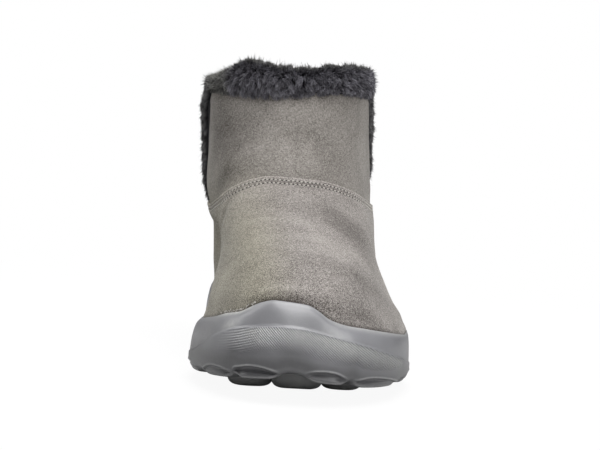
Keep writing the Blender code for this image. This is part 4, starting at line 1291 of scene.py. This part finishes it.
def seamStitches():
    # Two rows of stitches all round below the cut edge, each stitch laid between two pinholes, shown as flat dark discs
    # of painted shade.
    clock = np.linspace(-180, 180, 2881)
    stitches, holeShades = [], []
    for row, (drop, tilt) in enumerate(zip(upper["stitchRows"], stitching["tilts"])):
        height = seamHeight(clock) - drop
        line = offsetFace(clock, height, upper["vampOut"] - upper["stitchDip"]
                          - patchSum(upperFace(clock, height), upper["creases"]))
        arc = arcLength(line)
        count = int(arc[-1] / stitching["pitch"])
        at = (np.arange(count) + row * stitching["rowOffset"]) * arc[-1] / count
        where = np.interp(at, arc, clock)
        ahead = unit(lineAt(at + 0.4, arc, line) - lineAt(at - 0.4, arc, line))
        up = outward(where, seamHeight(where) - drop)
        side = np.cross(up, ahead)
        stitches.append((lineAt(at, arc, line), unit(ahead + side * tilt), up))
        # a flat dark disc of painted shade for the pinhole between stitches
        between = lineAt(at + stitching["pitch"] / 2, arc, line)
        holeShades.append((between, unit(ahead + side * stitching["holeShadeTilt"]), up))
    for name, rows, size, material, sink, seed in (
            ("vamp_stitches", stitches, stitching["size"], stitchThread, -0.06, 51),
            ("vamp_stitch_hole_shades", holeShades, stitching["holeShadeSize"], pinholeShade, 0.0, 52)):
        centres, alongs, ups = (np.concatenate(parts) for parts in zip(*rows))
        ups = unit(ups - alongs * (ups * alongs).sum(axis=-1, keepdims=True))
        beads(name, centres, alongs, ups, size, material, sink, seed)


details = {
    # pale frays of glue and nap along the rim: clock angles, count, size
    "frays": (-50.0, -22.0, 44, (1.2, 0.5, 0.4)),
    "fraySpread": 0.35, "seed": 71,
    # one lint fibre on the shaft: clock angle, height, angle, size
    "lint": (-3.8, 115.8, -38.0, (2.3, 0.3, 0.25)),
}


def makeDetails():
    # Short pale frays standing along the sole's rim on the inner side, and one lint fibre on the shaft.
    draw = np.random.default_rng(details["seed"])
    start, end, count, size = details["frays"]
    clock = np.sort(draw.uniform(start, end, count))
    height = aroundClock(clock, form["rim"]) + 0.85 + draw.normal(0, details["fraySpread"], count)
    centres, up = offsetFace(clock, height, upper["vampOut"] + 0.45), outward(clock, height)
    along, _ = turnedWays(up, draw.normal(0.15, 0.5, count)[:, None])
    beads("rim_frays", centres, along, up, size, stitchThread, -0.04, 72)
    clock, height, angle, size = details["lint"]
    up = outward(clock, height)[None, :]
    along, _ = turnedWays(up, math.radians(angle))
    beads("lint_fibre", upperFace(clock, height) + up * 0.3, along, up, size, stitchThread, 0.0, 73)


seamStitches()
makeDetails()
print("stitching ready")


footbedCloth = {
    "thickness": 5.0, "rings": 34, "hollows": 0.18,
    "edge": ((1.0, 0.5), (0.998, 0.76), (0.990, 0.92), (0.975, 1.0)),    # share of the outline, share of the thickness
}


def makeInsole():
    # The footbed: a low pad whose edge rounds over, its top worked into shallow random pile hollows.
    clock = clockColumns(2.0, 3.0, 90.0)
    gap, lift = form["gap"], form["gap"] + 0.05
    low = onFootbed(clock, -form["wall"] - gap, gap)
    raised = lambda share, rise: shrunk(low, share, lambda y: footbedHeight(y) + rise)
    draw = np.random.default_rng(61)
    rows = [raised(share, gap) for share in (0.02, 0.3, 0.6, 0.9)] + [low]
    rows += [raised(share, lift + (footbedCloth["thickness"] - lift) * rise) for share, rise in footbedCloth["edge"]]
    for share in np.linspace(0.955, 0.02, footbedCloth["rings"]):
        rows.append(raised(share, footbedCloth["thickness"]))
        rows[-1][:, 2] -= np.abs(draw.normal(0, footbedCloth["hollows"], len(clock)))
    piece = makeGrid("footbed_pile", np.array(rows), liningPlush, closedRound=True, poles=True)
    return placed(piece, ("insole",))


makeInsole()
print("footbed ready")
